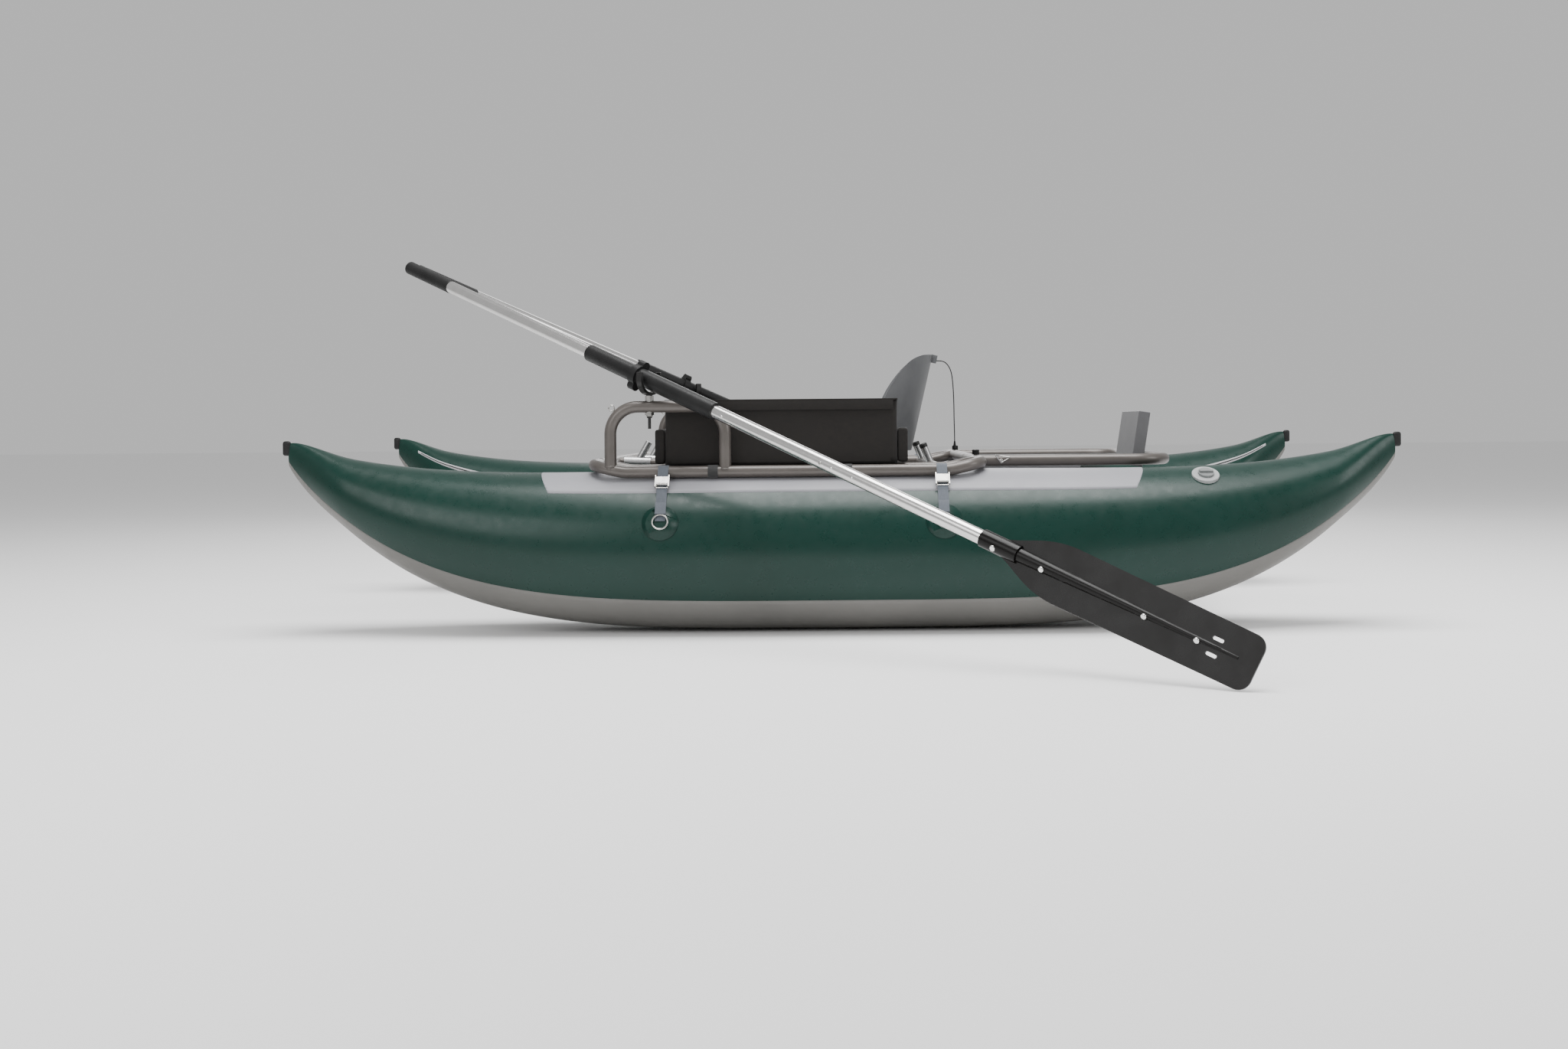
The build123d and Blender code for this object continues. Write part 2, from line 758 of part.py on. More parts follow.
cord_foot = cord_points[-1]
with BuildPart() as cord_toggle:
    with BuildSketch(Plane.XZ):
        with BuildLine():
            Polyline(
                (cord_foot[0], cord_foot[2]),
                (cord_foot[0] + cord_diameter / 2 + 0.5, cord_foot[2]),
                (cord_foot[0] + toggle_radius, cord_foot[2] - toggle_length + 4),
                (cord_foot[0] + toggle_radius, cord_foot[2] - toggle_length),
                (cord_foot[0], cord_foot[2] - toggle_length),
                (cord_foot[0], cord_foot[2]),
            )
        make_face()
    revolve(axis=Axis((cord_foot[0], 0, 0), (0, 0, 1)), revolution_arc=360)
save(cord_toggle, "cord_toggle")


# ---------------------------------------------------------------- oars
sweep_angle = radians(oar_sweep)
pitch_angle = radians(oar_pitch)
roll_angle = radians(blade_roll)
lock_point = Vector(lock_x, -lock_y, lock_z)
oar_along = Vector(cos(pitch_angle) * cos(sweep_angle), -cos(pitch_angle) * sin(sweep_angle), -sin(pitch_angle))
oar_up = Vector(sin(pitch_angle) * cos(sweep_angle), -sin(pitch_angle) * sin(sweep_angle), cos(pitch_angle))
oar_side = Vector(sin(sweep_angle), cos(sweep_angle), 0)
blade_across = oar_up * cos(roll_angle) + oar_side * sin(roll_angle)
oar_plane = Plane(origin=lock_point, x_dir=blade_across, z_dir=oar_along)
button_out = oar_side * -1


def oar_rod(start, end, outer, inner=0):
    """Round piece along the oar between two distances from the oarlock, positive outboard."""
    with BuildPart() as rod:
        with BuildSketch(oar_plane.offset(start)):
            Circle(outer)
            if inner:
                Circle(inner, mode=Mode.SUBTRACT)
        extrude(amount=end - start)
    return rod.part


def button_rod(start, end, radius):
    """Round piece across the oar at the snap button."""
    centre = lock_point + oar_along * button_along
    with BuildPart() as rod:
        with BuildSketch(Plane(origin=centre + button_out * start, z_dir=button_out)):
            Circle(radius)
        extrude(amount=end - start)
    return rod.part


shaft_bore = shaft_radius - shaft_wall
ferrule_radius = shaft_bore - ferrule_gap
ferrule_bore = ferrule_radius - shaft_wall
grip_cap = 12
button_hole = button_rod(0, 2 * shaft_radius, button_radius + fit_gap)

with BuildPart() as port_oar_upper_shaft:
    add(oar_rod(grip_end + grip_cap, shaft_joint, shaft_radius, shaft_bore))
    add(button_hole, mode=Mode.SUBTRACT)
save(port_oar_upper_shaft, "port_oar_upper_shaft")

with BuildPart() as port_oar_lower_shaft:
    add(oar_rod(shaft_joint + weld_gap, blade_start + socket_depth, shaft_radius, ferrule_bore))
    add(oar_rod(shaft_joint - ferrule_reach, shaft_joint + weld_gap + 1, ferrule_radius, ferrule_bore))
    add(button_hole, mode=Mode.SUBTRACT)
save(port_oar_lower_shaft, "port_oar_lower_shaft")

with BuildPart() as port_oar_grip:
    add(oar_rod(grip_end, grip_end + grip_length, grip_radius))
    fillet(port_oar_grip.edges(), 3)
    grip_bore_end = grip_end + grip_length + 1
    add(oar_rod(grip_end + grip_cap - fit_gap, grip_bore_end, shaft_radius + weld_gap), mode=Mode.SUBTRACT)
save(port_oar_grip, "port_oar_grip")

with BuildPart() as port_oar_sleeve:
    add(oar_rod(sleeve_start, sleeve_end, sleeve_radius))
    with BuildSketch(oar_plane.offset(collar_start)):
        Circle(collar_radius)
        with Locations((collar_lobe_reach, 0), (-collar_lobe_reach, 0)):
            Circle(collar_lobe_radius)
    extrude(amount=collar_thickness)
    add(oar_rod(sleeve_start - 1, sleeve_end + 1, shaft_radius + weld_gap), mode=Mode.SUBTRACT)
save(port_oar_sleeve, "port_oar_sleeve")

blade_plane = Plane(origin=lock_point, x_dir=oar_along, z_dir=oar_plane.y_dir)
shoulder_start = blade_start + 40
with BuildPart() as port_oar_blade:
    with BuildSketch(blade_plane) as blade_outline:
        with BuildLine():
            shoulder = Spline(
                (shoulder_start, socket_radius - 4),
                (shoulder_start + blade_shoulder / 2, blade_half_width * 0.74),
                (shoulder_start + blade_shoulder, blade_half_width),
                tangents=[(1, 0.2), (1, 0.02)],
            )
            Polyline(
                shoulder @ 1,
                (blade_end, blade_tip_half_width),
                (blade_end, 0),
                (shoulder_start, 0),
                shoulder @ 0,
            )
        make_face()
        mirror(about=Plane.XZ)
        fillet(blade_outline.vertices().group_by(Axis.X)[-1].sort_by(Axis.Y)[0], blade_corner)
        fillet(blade_outline.vertices().group_by(Axis.X)[-1].sort_by(Axis.Y)[-1], blade_corner)
    extrude(amount=blade_thickness / 2, both=True)
    # Rib along the middle, closing to a point near the tip, and the socket for the shaft
    with BuildSketch(oar_plane.offset(blade_start + socket_depth)):
        Circle(socket_radius - 4)
    with BuildSketch(oar_plane.offset(blade_end - 40)):
        Circle(rib_end_radius)
    loft()
    add(oar_rod(blade_start, blade_start + socket_depth + 12, socket_radius))
    with BuildSketch(blade_plane):
        with Locations((blade_end - 90, 16), (blade_end - 90, -16)):
            SlotOverall(24, 7)
    extrude(amount=blade_thickness, both=True, mode=Mode.SUBTRACT)
    add(oar_rod(blade_start - 1, blade_start + socket_depth + 1, shaft_radius + weld_gap), mode=Mode.SUBTRACT)
save(port_oar_blade, "port_oar_blade")

with BuildPart() as port_snap_button:
    add(button_rod(ferrule_bore - 5, shaft_radius + 1.6, button_radius))
    add(button_rod(ferrule_bore - 7, ferrule_bore - 3, button_radius + 2))
    fillet(port_snap_button.edges().sort_by(Axis(lock_point, button_out))[-1], 1.2)
save(port_snap_button, "port_snap_button")

oar_pieces = {
    "oar_upper_shaft": port_oar_upper_shaft,
    "oar_lower_shaft": port_oar_lower_shaft,
    "oar_grip": port_oar_grip,
    "oar_sleeve": port_oar_sleeve,
    "oar_blade": port_oar_blade,
    "snap_button": port_snap_button,
}
for piece_name, piece in oar_pieces.items():
    save_starboard(piece, f"starboard_{piece_name}")


# ---------------------------------------------------------------- oarlocks
# The horn is an open ring square to the oar's heading; its pin turns in a flanged bushing
lock_plane = Plane(origin=lock_point, x_dir=oar_side, z_dir=(cos(sweep_angle), -sin(sweep_angle), 0))
horn_outer_radius = horn_inner_radius + horn_wall
bushing_top = stand_height + tube_radius + bushing_rise
bushing_bottom = stand_height - tube_radius - bushing_drop
nut_bottom = stand_height - weld_radius - lock_nut_height
with BuildPart() as port_oarlock:
    with BuildSketch(lock_plane.offset(-horn_width / 2)):
        Circle(horn_outer_radius)
        with Locations((0, horn_outer_radius)):
            Rectangle(2 * horn_outer_radius, 2 * horn_outer_radius, mode=Mode.SUBTRACT)
        with Locations((0, horn_arm_height / 2)):
            Rectangle(2 * horn_outer_radius, horn_arm_height)
        Circle(horn_inner_radius, mode=Mode.SUBTRACT)
        with Locations((0, horn_arm_height / 2)):
            Rectangle(2 * horn_inner_radius, horn_arm_height, mode=Mode.SUBTRACT)
    extrude(amount=horn_width)
    fillet(port_oarlock.faces().group_by(Axis.Z)[-1].edges(), 2)
    with BuildSketch(Plane.XY.offset(bushing_top + fit_gap)):
        with Locations((lock_x, -lock_y)):
            Circle(bushing_radius)
    extrude(amount=lock_z - horn_inner_radius - 2 - bushing_top)
    with BuildSketch(Plane.XY.offset(bushing_bottom - 4)):
        with Locations((lock_x, -lock_y)):
            Circle(lock_pin_radius)
    extrude(amount=bushing_top - bushing_bottom + 6)
    with BuildSketch(Plane.XY.offset(bushing_bottom - 4 - pin_tip_drop)):
        with Locations((lock_x, -lock_y)):
            Circle(pin_tip_radius)
    extrude(amount=pin_tip_drop + 1)
save(port_oarlock, "port_oarlock")
save_starboard(port_oarlock, "starboard_oarlock")

with BuildPart() as lock_bushings:
    for start, end, radius in (
        (bushing_bottom, bushing_top - 3, bushing_radius),
        (stand_height + weld_radius, bushing_top, bushing_flange_radius),
    ):
        with BuildSketch(Plane.XY.offset(start)):
            with Locations((lock_x, -lock_y)):
                Circle(radius)
        extrude(amount=end - start)
    with BuildSketch(Plane.XY.offset(bushing_bottom - 1)):
        with Locations((lock_x, -lock_y)):
            Circle(lock_pin_radius + lock_bore_clearance)
    extrude(amount=bushing_top - bushing_bottom + 2, mode=Mode.SUBTRACT)
    mirror(about=Plane.XZ)
save(lock_bushings, "lock_bushings")

with BuildPart() as lock_nuts:
    with BuildSketch(Plane.XY.offset(nut_bottom)):
        with Locations((lock_x, -lock_y)):
            RegularPolygon(lock_nut_radius, 6)
            Circle(bushing_radius + weld_gap, mode=Mode.SUBTRACT)
    extrude(amount=lock_nut_height)
    mirror(about=Plane.XZ)
save(lock_nuts, "lock_nuts")


# ---------------------------------------------------------------- side bags
bag_length = bag_rear_x - bag_front_x
bag_width = bag_outer_y - bag_inner_y
bag_x = (bag_front_x + bag_rear_x) / 2
bag_y = -(bag_outer_y + bag_inner_y) / 2
bag_bottom_z = rail_top_z + strap_thickness + 2 * fit_gap
body_top_z = bag_top_z - lid_thickness - lid_gap
with BuildPart() as port_bag_body:
    with BuildSketch(Plane.XY.offset(bag_bottom_z)):
        with Locations((bag_x, bag_y)):
            RectangleRounded(bag_length, bag_width, 14)
    extrude(amount=body_top_z - bag_bottom_z)
    with BuildSketch(Plane.XY.offset(bag_bottom_z)):
        with Locations((bag_x, bag_y)):
            RectangleRounded(bag_length + 2 * bag_pocket_depth, bag_width - 12, 10)
    extrude(amount=bag_pocket_top_z - bag_bottom_z)
    with BuildSketch(Plane.XY.offset(bag_bottom_z + bag_wall)):
        with Locations((bag_x, bag_y)):
            RectangleRounded(bag_length - 2 * bag_wall, bag_width - 2 * bag_wall, 14 - bag_wall)
    extrude(amount=body_top_z - bag_bottom_z, mode=Mode.SUBTRACT)
save(port_bag_body, "port_bag_body")
save_starboard(port_bag_body, "starboard_bag_body")

lid_z = body_top_z + lid_gap
skirt_y = -bag_outer_y - lid_gap - lid_thickness / 2
with BuildPart() as port_bag_lid:
    with BuildSketch(Plane.XY.offset(lid_z)):
        with Locations((bag_x, bag_y - lid_gap / 2 - lid_thickness / 2)):
            RectangleRounded(bag_length, bag_width + lid_gap + lid_thickness, 3)
    extrude(amount=lid_thickness)
    with BuildSketch(Plane.XY.offset(lid_z + lid_thickness / 2)):
        with Locations((bag_x, skirt_y)):
            Rectangle(bag_length - 20, lid_thickness)
    extrude(amount=-lid_skirt)
save(port_bag_lid, "port_bag_lid")
save_starboard(port_bag_lid, "starboard_bag_lid")


# ---------------------------------------------------------------- straps and buckles
def ring_sector(centre, inner, outer, first_angle, last_angle):
    """Part of a ring in a plane across the boat, between two angles from the top towards outboard."""
    with BuildSketch() as sector:
        with BuildLine():
            far = CenterArc(centre, outer, 90 + first_angle, last_angle - first_angle)
            near = CenterArc(centre, inner, 90 + first_angle, last_angle - first_angle)
            Line(far @ 0, near @ 0)
            Line(far @ 1, near @ 1)
        make_face()
    return sector.sketch


# Sections are drawn with local x towards starboard and local y up
rail_centre = (-outer_rail_y, rail_z)
strap_rail_radius = tube_radius + fit_gap
strap_rail_outside = strap_rail_radius + strap_thickness


def on_circle(centre, radius, angle):
    """Point at an angle from the top towards outboard (port)."""
    return (centre[0] - radius * sin(radians(angle)), centre[1] + radius * cos(radians(angle)))


def strap_run(x):
    """Where a strap leaves the cover for the rail: cover centre, cover radius and the shared tangent's angle."""
    share = abs(x) / half_length
    centre = (-pontoon_y, pontoon_centre_at(share))
    radius = pontoon_radius_at(share) + skin_top + 2 * fit_gap
    across, up = rail_centre[0] - centre[0], rail_centre[1] - centre[1]
    reach = sqrt(across**2 + up**2)
    angle = degrees(asin(-across / reach)) + degrees(acos((radius - strap_rail_radius) / reach))
    return centre, radius, angle


with BuildPart() as frame_straps:
    for x in strap_xs:
        centre, radius, angle = strap_run(x)
        with BuildSketch(Plane.YZ.offset(x - strap_width / 2)):
            add(ring_sector(centre, radius, radius + strap_thickness, angle, ring_angle - 1))
            add(ring_sector(rail_centre, strap_rail_radius, strap_rail_outside, -95, angle))
            with BuildLine():
                Polyline(
                    on_circle(centre, radius, angle),
                    on_circle(centre, radius + strap_thickness, angle),
                    on_circle(rail_centre, strap_rail_outside, angle),
                    on_circle(rail_centre, strap_rail_radius, angle),
                    close=True,
                )
            make_face()
        extrude(amount=strap_width)
    mirror(about=Plane.XZ)
save(frame_straps, "frame_straps")

# Cam buckles lie on the straight part of each strap, just below the rail
buckle_share = 0.62
buckle_plate = 2
lever_shift = 4
lever_hub_radius = 3.2
lever_half_thickness = 1.8


def buckle_plane(x, height):
    """Plane of a buckle: its local y runs up the strap and its normal points away from the cover."""
    centre, radius, angle = strap_run(x)
    low = Vector(x, *on_circle(centre, radius + strap_thickness, angle))
    high = Vector(x, *on_circle(rail_centre, strap_rail_outside, angle))
    normal = Vector(0, -sin(radians(angle)), cos(radians(angle)))
    return Plane(origin=low + (high - low) * buckle_share + normal * height, x_dir=(-1, 0, 0), z_dir=normal)


lever_gap = 0.4
lever_height = buckle_height - 3
with BuildPart() as strap_buckles:
    for x in strap_xs:
        with BuildSketch(buckle_plane(x, fit_gap)):
            Rectangle(buckle_width, buckle_length)
            with Locations((0, lever_shift)):
                Rectangle(strap_width - 3, lever_length, mode=Mode.SUBTRACT)
        extrude(amount=buckle_plate)
        with BuildSketch(buckle_plane(x, fit_gap)):
            with Locations(((buckle_width - buckle_side) / 2, 0), ((buckle_side - buckle_width) / 2, 0)):
                Rectangle(buckle_side, buckle_length)
        extrude(amount=buckle_height)
    mirror(about=Plane.XZ)
save(strap_buckles, "strap_buckles")

lever_width = buckle_width - 2 * buckle_side - 2 * lever_gap
lever_pivot_offset = 8


def buckle_lever(x):
    """Cam lever between the buckle's side plates, hinged near its upper end."""
    with BuildPart() as lever:
        with BuildSketch(buckle_plane(x, lever_height)):
            with Locations((0, lever_pivot_offset - lever_length / 2)):
                Rectangle(lever_width, lever_length)
        extrude(amount=lever_half_thickness, both=True)
        plane = buckle_plane(x, lever_height)
        pivot = plane.origin + plane.y_dir * lever_pivot_offset
        with BuildSketch(Plane(origin=pivot, z_dir=(1, 0, 0))):
            Circle(lever_hub_radius)
        extrude(amount=lever_width / 2, both=True)
    return lever.part


for place, x in zip(("front", "rear"), strap_xs):
    with BuildPart() as port_lever:
        add(buckle_lever(x))
    save(port_lever, f"port_{place}_buckle_lever")
    save_starboard(port_lever, f"starboard_{place}_buckle_lever")

with BuildPart() as bag_straps:
    for x in bag_strap_x:
        with BuildSketch(Plane.YZ.offset(x - bag_strap_width / 2)):
            add(ring_sector(rail_centre, strap_rail_radius, strap_rail_outside, -30, 165))
        extrude(amount=bag_strap_width)
    mirror(about=Plane.XZ)
save(bag_straps, "bag_straps")
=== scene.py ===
from math import acos, asin, cos, degrees, pi, radians, sin

import bmesh
import bpy
from mathutils import Matrix, Vector
from mathutils import noise as mathutils_noise


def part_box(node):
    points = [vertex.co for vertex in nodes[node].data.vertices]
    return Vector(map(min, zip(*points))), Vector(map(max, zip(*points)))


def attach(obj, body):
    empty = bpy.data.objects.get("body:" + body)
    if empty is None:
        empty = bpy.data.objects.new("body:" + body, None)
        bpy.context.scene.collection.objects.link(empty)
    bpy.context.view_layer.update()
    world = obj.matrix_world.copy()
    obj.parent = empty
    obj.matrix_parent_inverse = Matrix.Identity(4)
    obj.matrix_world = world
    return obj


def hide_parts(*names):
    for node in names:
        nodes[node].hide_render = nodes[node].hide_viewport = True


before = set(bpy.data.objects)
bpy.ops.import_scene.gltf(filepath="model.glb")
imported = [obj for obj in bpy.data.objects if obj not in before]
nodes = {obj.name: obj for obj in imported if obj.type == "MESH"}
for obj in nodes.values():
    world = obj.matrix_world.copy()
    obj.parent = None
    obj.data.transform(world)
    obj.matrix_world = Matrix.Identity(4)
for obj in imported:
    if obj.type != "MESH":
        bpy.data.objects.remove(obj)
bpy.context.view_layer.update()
sides = (("port", 1), ("starboard", -1))

# ---- Camera ----------------------------------------------------------------------------------
# The boat is seen square from its port side, from about seat height.
camera_data = bpy.data.cameras.new("camera")
camera_data.lens = 38.23
camera_data.shift_x = -0.0368
camera_data.shift_y = -0.0645
camera = bpy.data.objects.new("camera", camera_data)
camera.location = (0, -4.593, 0.501)
camera.rotation_euler = (pi / 2, 0.0087, 0)
bpy.context.scene.collection.objects.link(camera)
bpy.context.scene.camera = camera

# ---- Floor and light -------------------------------------------------------------------------
# A plain pale floor with a pale room round it, lit by large soft lamps from above and both sides.
floor_mesh = bpy.data.meshes.new("floor")
bm = bmesh.new()
bmesh.ops.create_grid(bm, x_segments=1, y_segments=1, size=30)
bm.to_mesh(floor_mesh)
bm.free()
floor = bpy.data.objects.new("floor", floor_mesh)
bpy.context.scene.collection.objects.link(floor)
floor_paint = bpy.data.materials.new("floor_paint")
floor_paint.use_nodes = True
floor_shader = floor_paint.node_tree.nodes["Principled BSDF"]
floor_shader.inputs["Base Color"].default_value = (0.92, 0.92, 0.92, 1)
floor_shader.inputs["Roughness"].default_value = 0.9
floor_mesh.materials.append(floor_paint)

world = bpy.data.worlds.new("room")
bpy.context.scene.world = world
world.use_nodes = True
world.node_tree.nodes["Background"].inputs["Color"].default_value = (1, 1, 1, 1)
world.node_tree.nodes["Background"].inputs["Strength"].default_value = 0.6


def soft_lamp(name, place, size, power):
    """Square lamp that looks at the middle of the boat."""
    light = bpy.data.lights.new(name, "AREA")
    light.size = size
    light.energy = power
    lamp = bpy.data.objects.new(name, light)
    lamp.location = place
    lamp.rotation_euler = (Vector((0, 0, 0.3)) - Vector(place)).to_track_quat("-Z", "Y").to_euler()
    bpy.context.scene.collection.objects.link(lamp)


soft_lamp("overhead", (0.2, -0.6, 4.2), 3.0, 330)
soft_lamp("near_side", (-2.6, -3.8, 2.4), 2.2, 60)
soft_lamp("stern_side", (3.6, -2.0, 1.8), 1.6, 36)
soft_lamp("far_side", (0, 4.2, 2.2), 2.5, 50)


# ---- Cord behind the backrest ----------------------------------------------------------------
# A thin braided pull cord, held in the clip at the top of the backrest and weighted by a toggle.
cord_points = [
    (0.262, 0, 0.671), (0.279, 0, 0.672), (0.294, 0, 0.661), (0.304, 0, 0.640), (0.308, 0, 0.604),
    (0.310, 0, 0.556), (0.310, 0.001, 0.508), (0.311, 0, 0.470), (0.311, 0, 0.450),
]
cord_diameter = 0.003
cord_line = bpy.data.curves.new("pull_cord", "CURVE")
cord_line.dimensions = "3D"
cord_spline = cord_line.splines.new("NURBS")
cord_spline.points.add(len(cord_points) - 1)
for point, place in zip(cord_spline.points, cord_points):
    point.co = (*place, 1)
cord_spline.order_u = 3
cord_spline.use_endpoint_u = True
cord_spline.resolution_u = 12
cord_line.bevel_depth = cord_diameter / 2
cord_line.bevel_resolution = 4
cord_line.use_fill_caps = True
pull_cord = bpy.data.objects.new("pull_cord", cord_line)
bpy.context.scene.collection.objects.link(pull_cord)
cord_braid = bpy.data.materials.new("cord_braid")
cord_braid.use_nodes = True
cord_tree = cord_braid.node_tree
cord_shader = cord_tree.nodes["Principled BSDF"]
cord_place = cord_tree.nodes.new("ShaderNodeTexCoord")
braid = cord_tree.nodes.new("ShaderNodeTexWave")
braid.bands_direction = "DIAGONAL"
braid.inputs["Scale"].default_value = 320
cord_tree.links.new(cord_place.outputs["Object"], braid.inputs["Vector"])
braid_tone = cord_tree.nodes.new("ShaderNodeMix")
braid_tone.data_type = "RGBA"
braid_tone.inputs["A"].default_value = (0.01, 0.01, 0.012, 1)
braid_tone.inputs["B"].default_value = (0.045, 0.043, 0.045, 1)
cord_tree.links.new(braid.outputs["Fac"], braid_tone.inputs["Factor"])
cord_tree.links.new(braid_tone.outputs["Result"], cord_shader.inputs["Base Color"])
braid_bump = cord_tree.nodes.new("ShaderNodeBump")
braid_bump.inputs["Strength"].default_value = 0.5
braid_bump.inputs["Distance"].default_value = 0.0004
cord_tree.links.new(braid.outputs["Fac"], braid_bump.inputs["Height"])
cord_tree.links.new(braid_bump.outputs["Normal"], cord_shader.inputs["Normal"])
cord_shader.inputs["Roughness"].default_value = 0.75
cord_line.materials.append(cord_braid)
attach(pull_cord, "seat_back")
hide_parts("backrest_cord")

# ---- Pontoons --------------------------------------------------------------------------------
# Each pontoon is a spindle of coated cloth, round in section, that turns up at both ends.
# The cover is glued from long panels, with a light chafe patch on top and a grey wear strip below.
cover_low, cover_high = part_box("port_pontoon_cover")
half_length = cover_high.x
pontoon_radius = (cover_high.y - cover_low.y) / 2
pontoon_y = (cover_high.y + cover_low.y) / 2
tip_radius = 0.018
tip_rise = 0.24
axis_z = cover_low.z + pontoon_radius
ring_points = 96
ring_count = 110
patch_lift = 0.0002
patch_thickness = 0.0008
press_start = 0.88
press_height = 0.5
press_width = 0.72


def pontoon_section(x):
    """Radius and centre height of the pontoon at a place along it."""
    share = min(abs(x) / half_length, 1)
    radius = tip_radius + (pontoon_radius - tip_radius) * (1 - share**3.5) ** 0.85
    return radius, axis_z + tip_rise * share**4.5


def place_ring(bm, verts, old, new):
    """Carry a ring of the pontoon to its next section: old and new are (x, radius, centre height)."""
    growth = new[1] / old[1]
    centre = Vector((old[0], pontoon_y, old[2]))
    bmesh.ops.scale(bm, vec=(1, growth, growth), space=Matrix.Translation(-centre), verts=verts)
    bmesh.ops.translate(bm, vec=(new[0] - old[0], 0, new[2] - old[2]), verts=verts)


def press_tips(bm):
    """Press each end flat into an upright seam, as tall as the round end's cloth allows."""
    for vert in bm.verts:
        share = min(abs(vert.co.x) / half_length, 1)
        if share > press_start:
            pressed = ((share - press_start) / (1 - press_start)) ** 2
            height = pontoon_section(vert.co.x)[1]
            vert.co.z = height + (vert.co.z - height) * (1 + press_height * pressed)
            vert.co.y = pontoon_y + (vert.co.y - pontoon_y) * (1 - press_width * pressed)


def pontoon_skin(first_angle, last_angle, x_reach, lift):
    """Sheet on the pontoon between two angles from the top towards outboard, lifted off the cover."""
    bm = bmesh.new()
    points = max(int(ring_points * (last_angle - first_angle) / 360), 2)
    steps = [x_reach * sin(pi / 2 * k / ring_count) for k in range(-ring_count, ring_count + 1)]
    sections = [(x, pontoon_section(x)[0] + lift, pontoon_section(x)[1]) for x in steps]
    x, radius, height = sections[0]
    start = bmesh.ops.create_vert(bm, co=(x, pontoon_y, height + radius))["vert"]
    hub = (x, pontoon_y, height)
    bmesh.ops.rotate(bm, cent=hub, matrix=Matrix.Rotation(radians(first_angle), 3, "X"), verts=start)
    bmesh.ops.spin(
        bm, geom=start, cent=hub, axis=(1, 0, 0), angle=radians(last_angle - first_angle), steps=points,
        use_merge=last_angle - first_angle >= 360,
    )
    if last_angle - first_angle >= 360:
        bmesh.ops.remove_doubles(bm, verts=bm.verts, dist=1e-6)
    edges = list(bm.edges)
    for old, new in zip(sections, sections[1:]):
        grown = bmesh.ops.extrude_edge_only(bm, edges=edges)["geom"]
        edges = [g for g in grown if isinstance(g, bmesh.types.BMEdge)]
        place_ring(bm, [g for g in grown if isinstance(g, bmesh.types.BMVert)], old, new)
    press_tips(bm)
    return bm


def keep_piece(bm, name, side, body, materials, smooth=True):
    """Turn a bmesh of the port piece into a piece on its side of the boat."""
    if side == -1:
        bmesh.ops.scale(bm, vec=(1, -1, 1), verts=bm.verts)
        bmesh.ops.reverse_faces(bm, faces=bm.faces)
    for face in bm.faces:
        face.smooth = smooth
    mesh = bpy.data.meshes.new(name)
    bm.to_mesh(mesh)
    bm.free()
    piece = bpy.data.objects.new(name, mesh)
    bpy.context.scene.collection.objects.link(piece)
    for material in materials:
        mesh.materials.append(material)
    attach(piece, body)
    return piece


def new_material(name):
    """Material with its shader and Object coordinates ready."""
    material = bpy.data.materials.new(name)
    material.use_nodes = True
    tree = material.node_tree
    shader = tree.nodes["Principled BSDF"]
    place = tree.nodes.new("ShaderNodeTexCoord")
    return material, tree, shader, place.outputs["Object"]


def noise(tree, place, scale, detail=4, roughness=0.5):
    """Noise over the piece."""
    node = tree.nodes.new("ShaderNodeTexNoise")
    node.inputs["Scale"].default_value = scale
    node.inputs["Detail"].default_value = detail
    node.inputs["Roughness"].default_value = roughness
    tree.links.new(place, node.inputs["Vector"])
    return node.outputs["Fac"]


def spread(tree, value, low, high):
    """Value stretched from its middle part to the range low to high."""
    node = tree.nodes.new("ShaderNodeMapRange")
    node.inputs["From Min"].default_value = 0.3
    node.inputs["From Max"].default_value = 0.7
    node.inputs["To Min"].default_value = low
    node.inputs["To Max"].default_value = high
    tree.links.new(value, node.inputs["Value"])
    return node.outputs["Result"]


def two_tone(tree, factor, first, second, socket):
    """Colour between two tones by a factor."""
    node = tree.nodes.new("ShaderNodeMix")
    node.data_type = "RGBA"
    node.inputs["A"].default_value = (*first, 1)
    node.inputs["B"].default_value = (*second, 1)
    tree.links.new(factor, node.inputs["Factor"])
    tree.links.new(node.outputs["Result"], socket)


def relief(tree, shader, heights):
    """Bumps in a chain: each (height, strength, depth in metres)."""
    last = None
    for height, strength, depth in heights:
        bump = tree.nodes.new("ShaderNodeBump")
        bump.inputs["Strength"].default_value = strength
        bump.inputs["Distance"].default_value = depth
        tree.links.new(height, bump.inputs["Height"])
        if last:
            tree.links.new(last, bump.inputs["Normal"])
        last = bump.outputs["Normal"]
    tree.links.new(last, shader.inputs["Normal"])


def coated_cloth(name, tone, light_tone, roughness, sheen=0.0):
    """Satin PVC-coated cloth: a fine base weave that shows through, soft hollows and rubbed spots."""
    material, tree, shader, place = new_material(name)
    shader.inputs["Specular IOR Level"].default_value = 0.3
    shader.inputs["Sheen Weight"].default_value = sheen
    broad = noise(tree, place, 3.2, 5)
    rubbed = noise(tree, place, 38, 6, 0.65)
    weave = tree.nodes.new("ShaderNodeTexVoronoi")
    weave.inputs["Scale"].default_value = 900
    tree.links.new(place, weave.inputs["Vector"])
    two_tone(tree, spread(tree, broad, 0, 1), tone, light_tone, shader.inputs["Base Color"])
    tree.links.new(spread(tree, rubbed, roughness - 0.06, roughness + 0.08), shader.inputs["Roughness"])
    relief(tree, shader, [(broad, 0.25, 0.006), (weave.outputs["Distance"], 0.03, 0.0002)])
    return material


cover_green = coated_cloth("cover_green", (0.0012, 0.021, 0.0145), (0.0018, 0.027, 0.0195), 0.3)
patch_grey = coated_cloth("patch_grey", (0.24, 0.24, 0.26), (0.29, 0.29, 0.31), 0.42)
strip_grey = coated_cloth("strip_grey", (0.13, 0.127, 0.119), (0.165, 0.16, 0.15), 0.5)

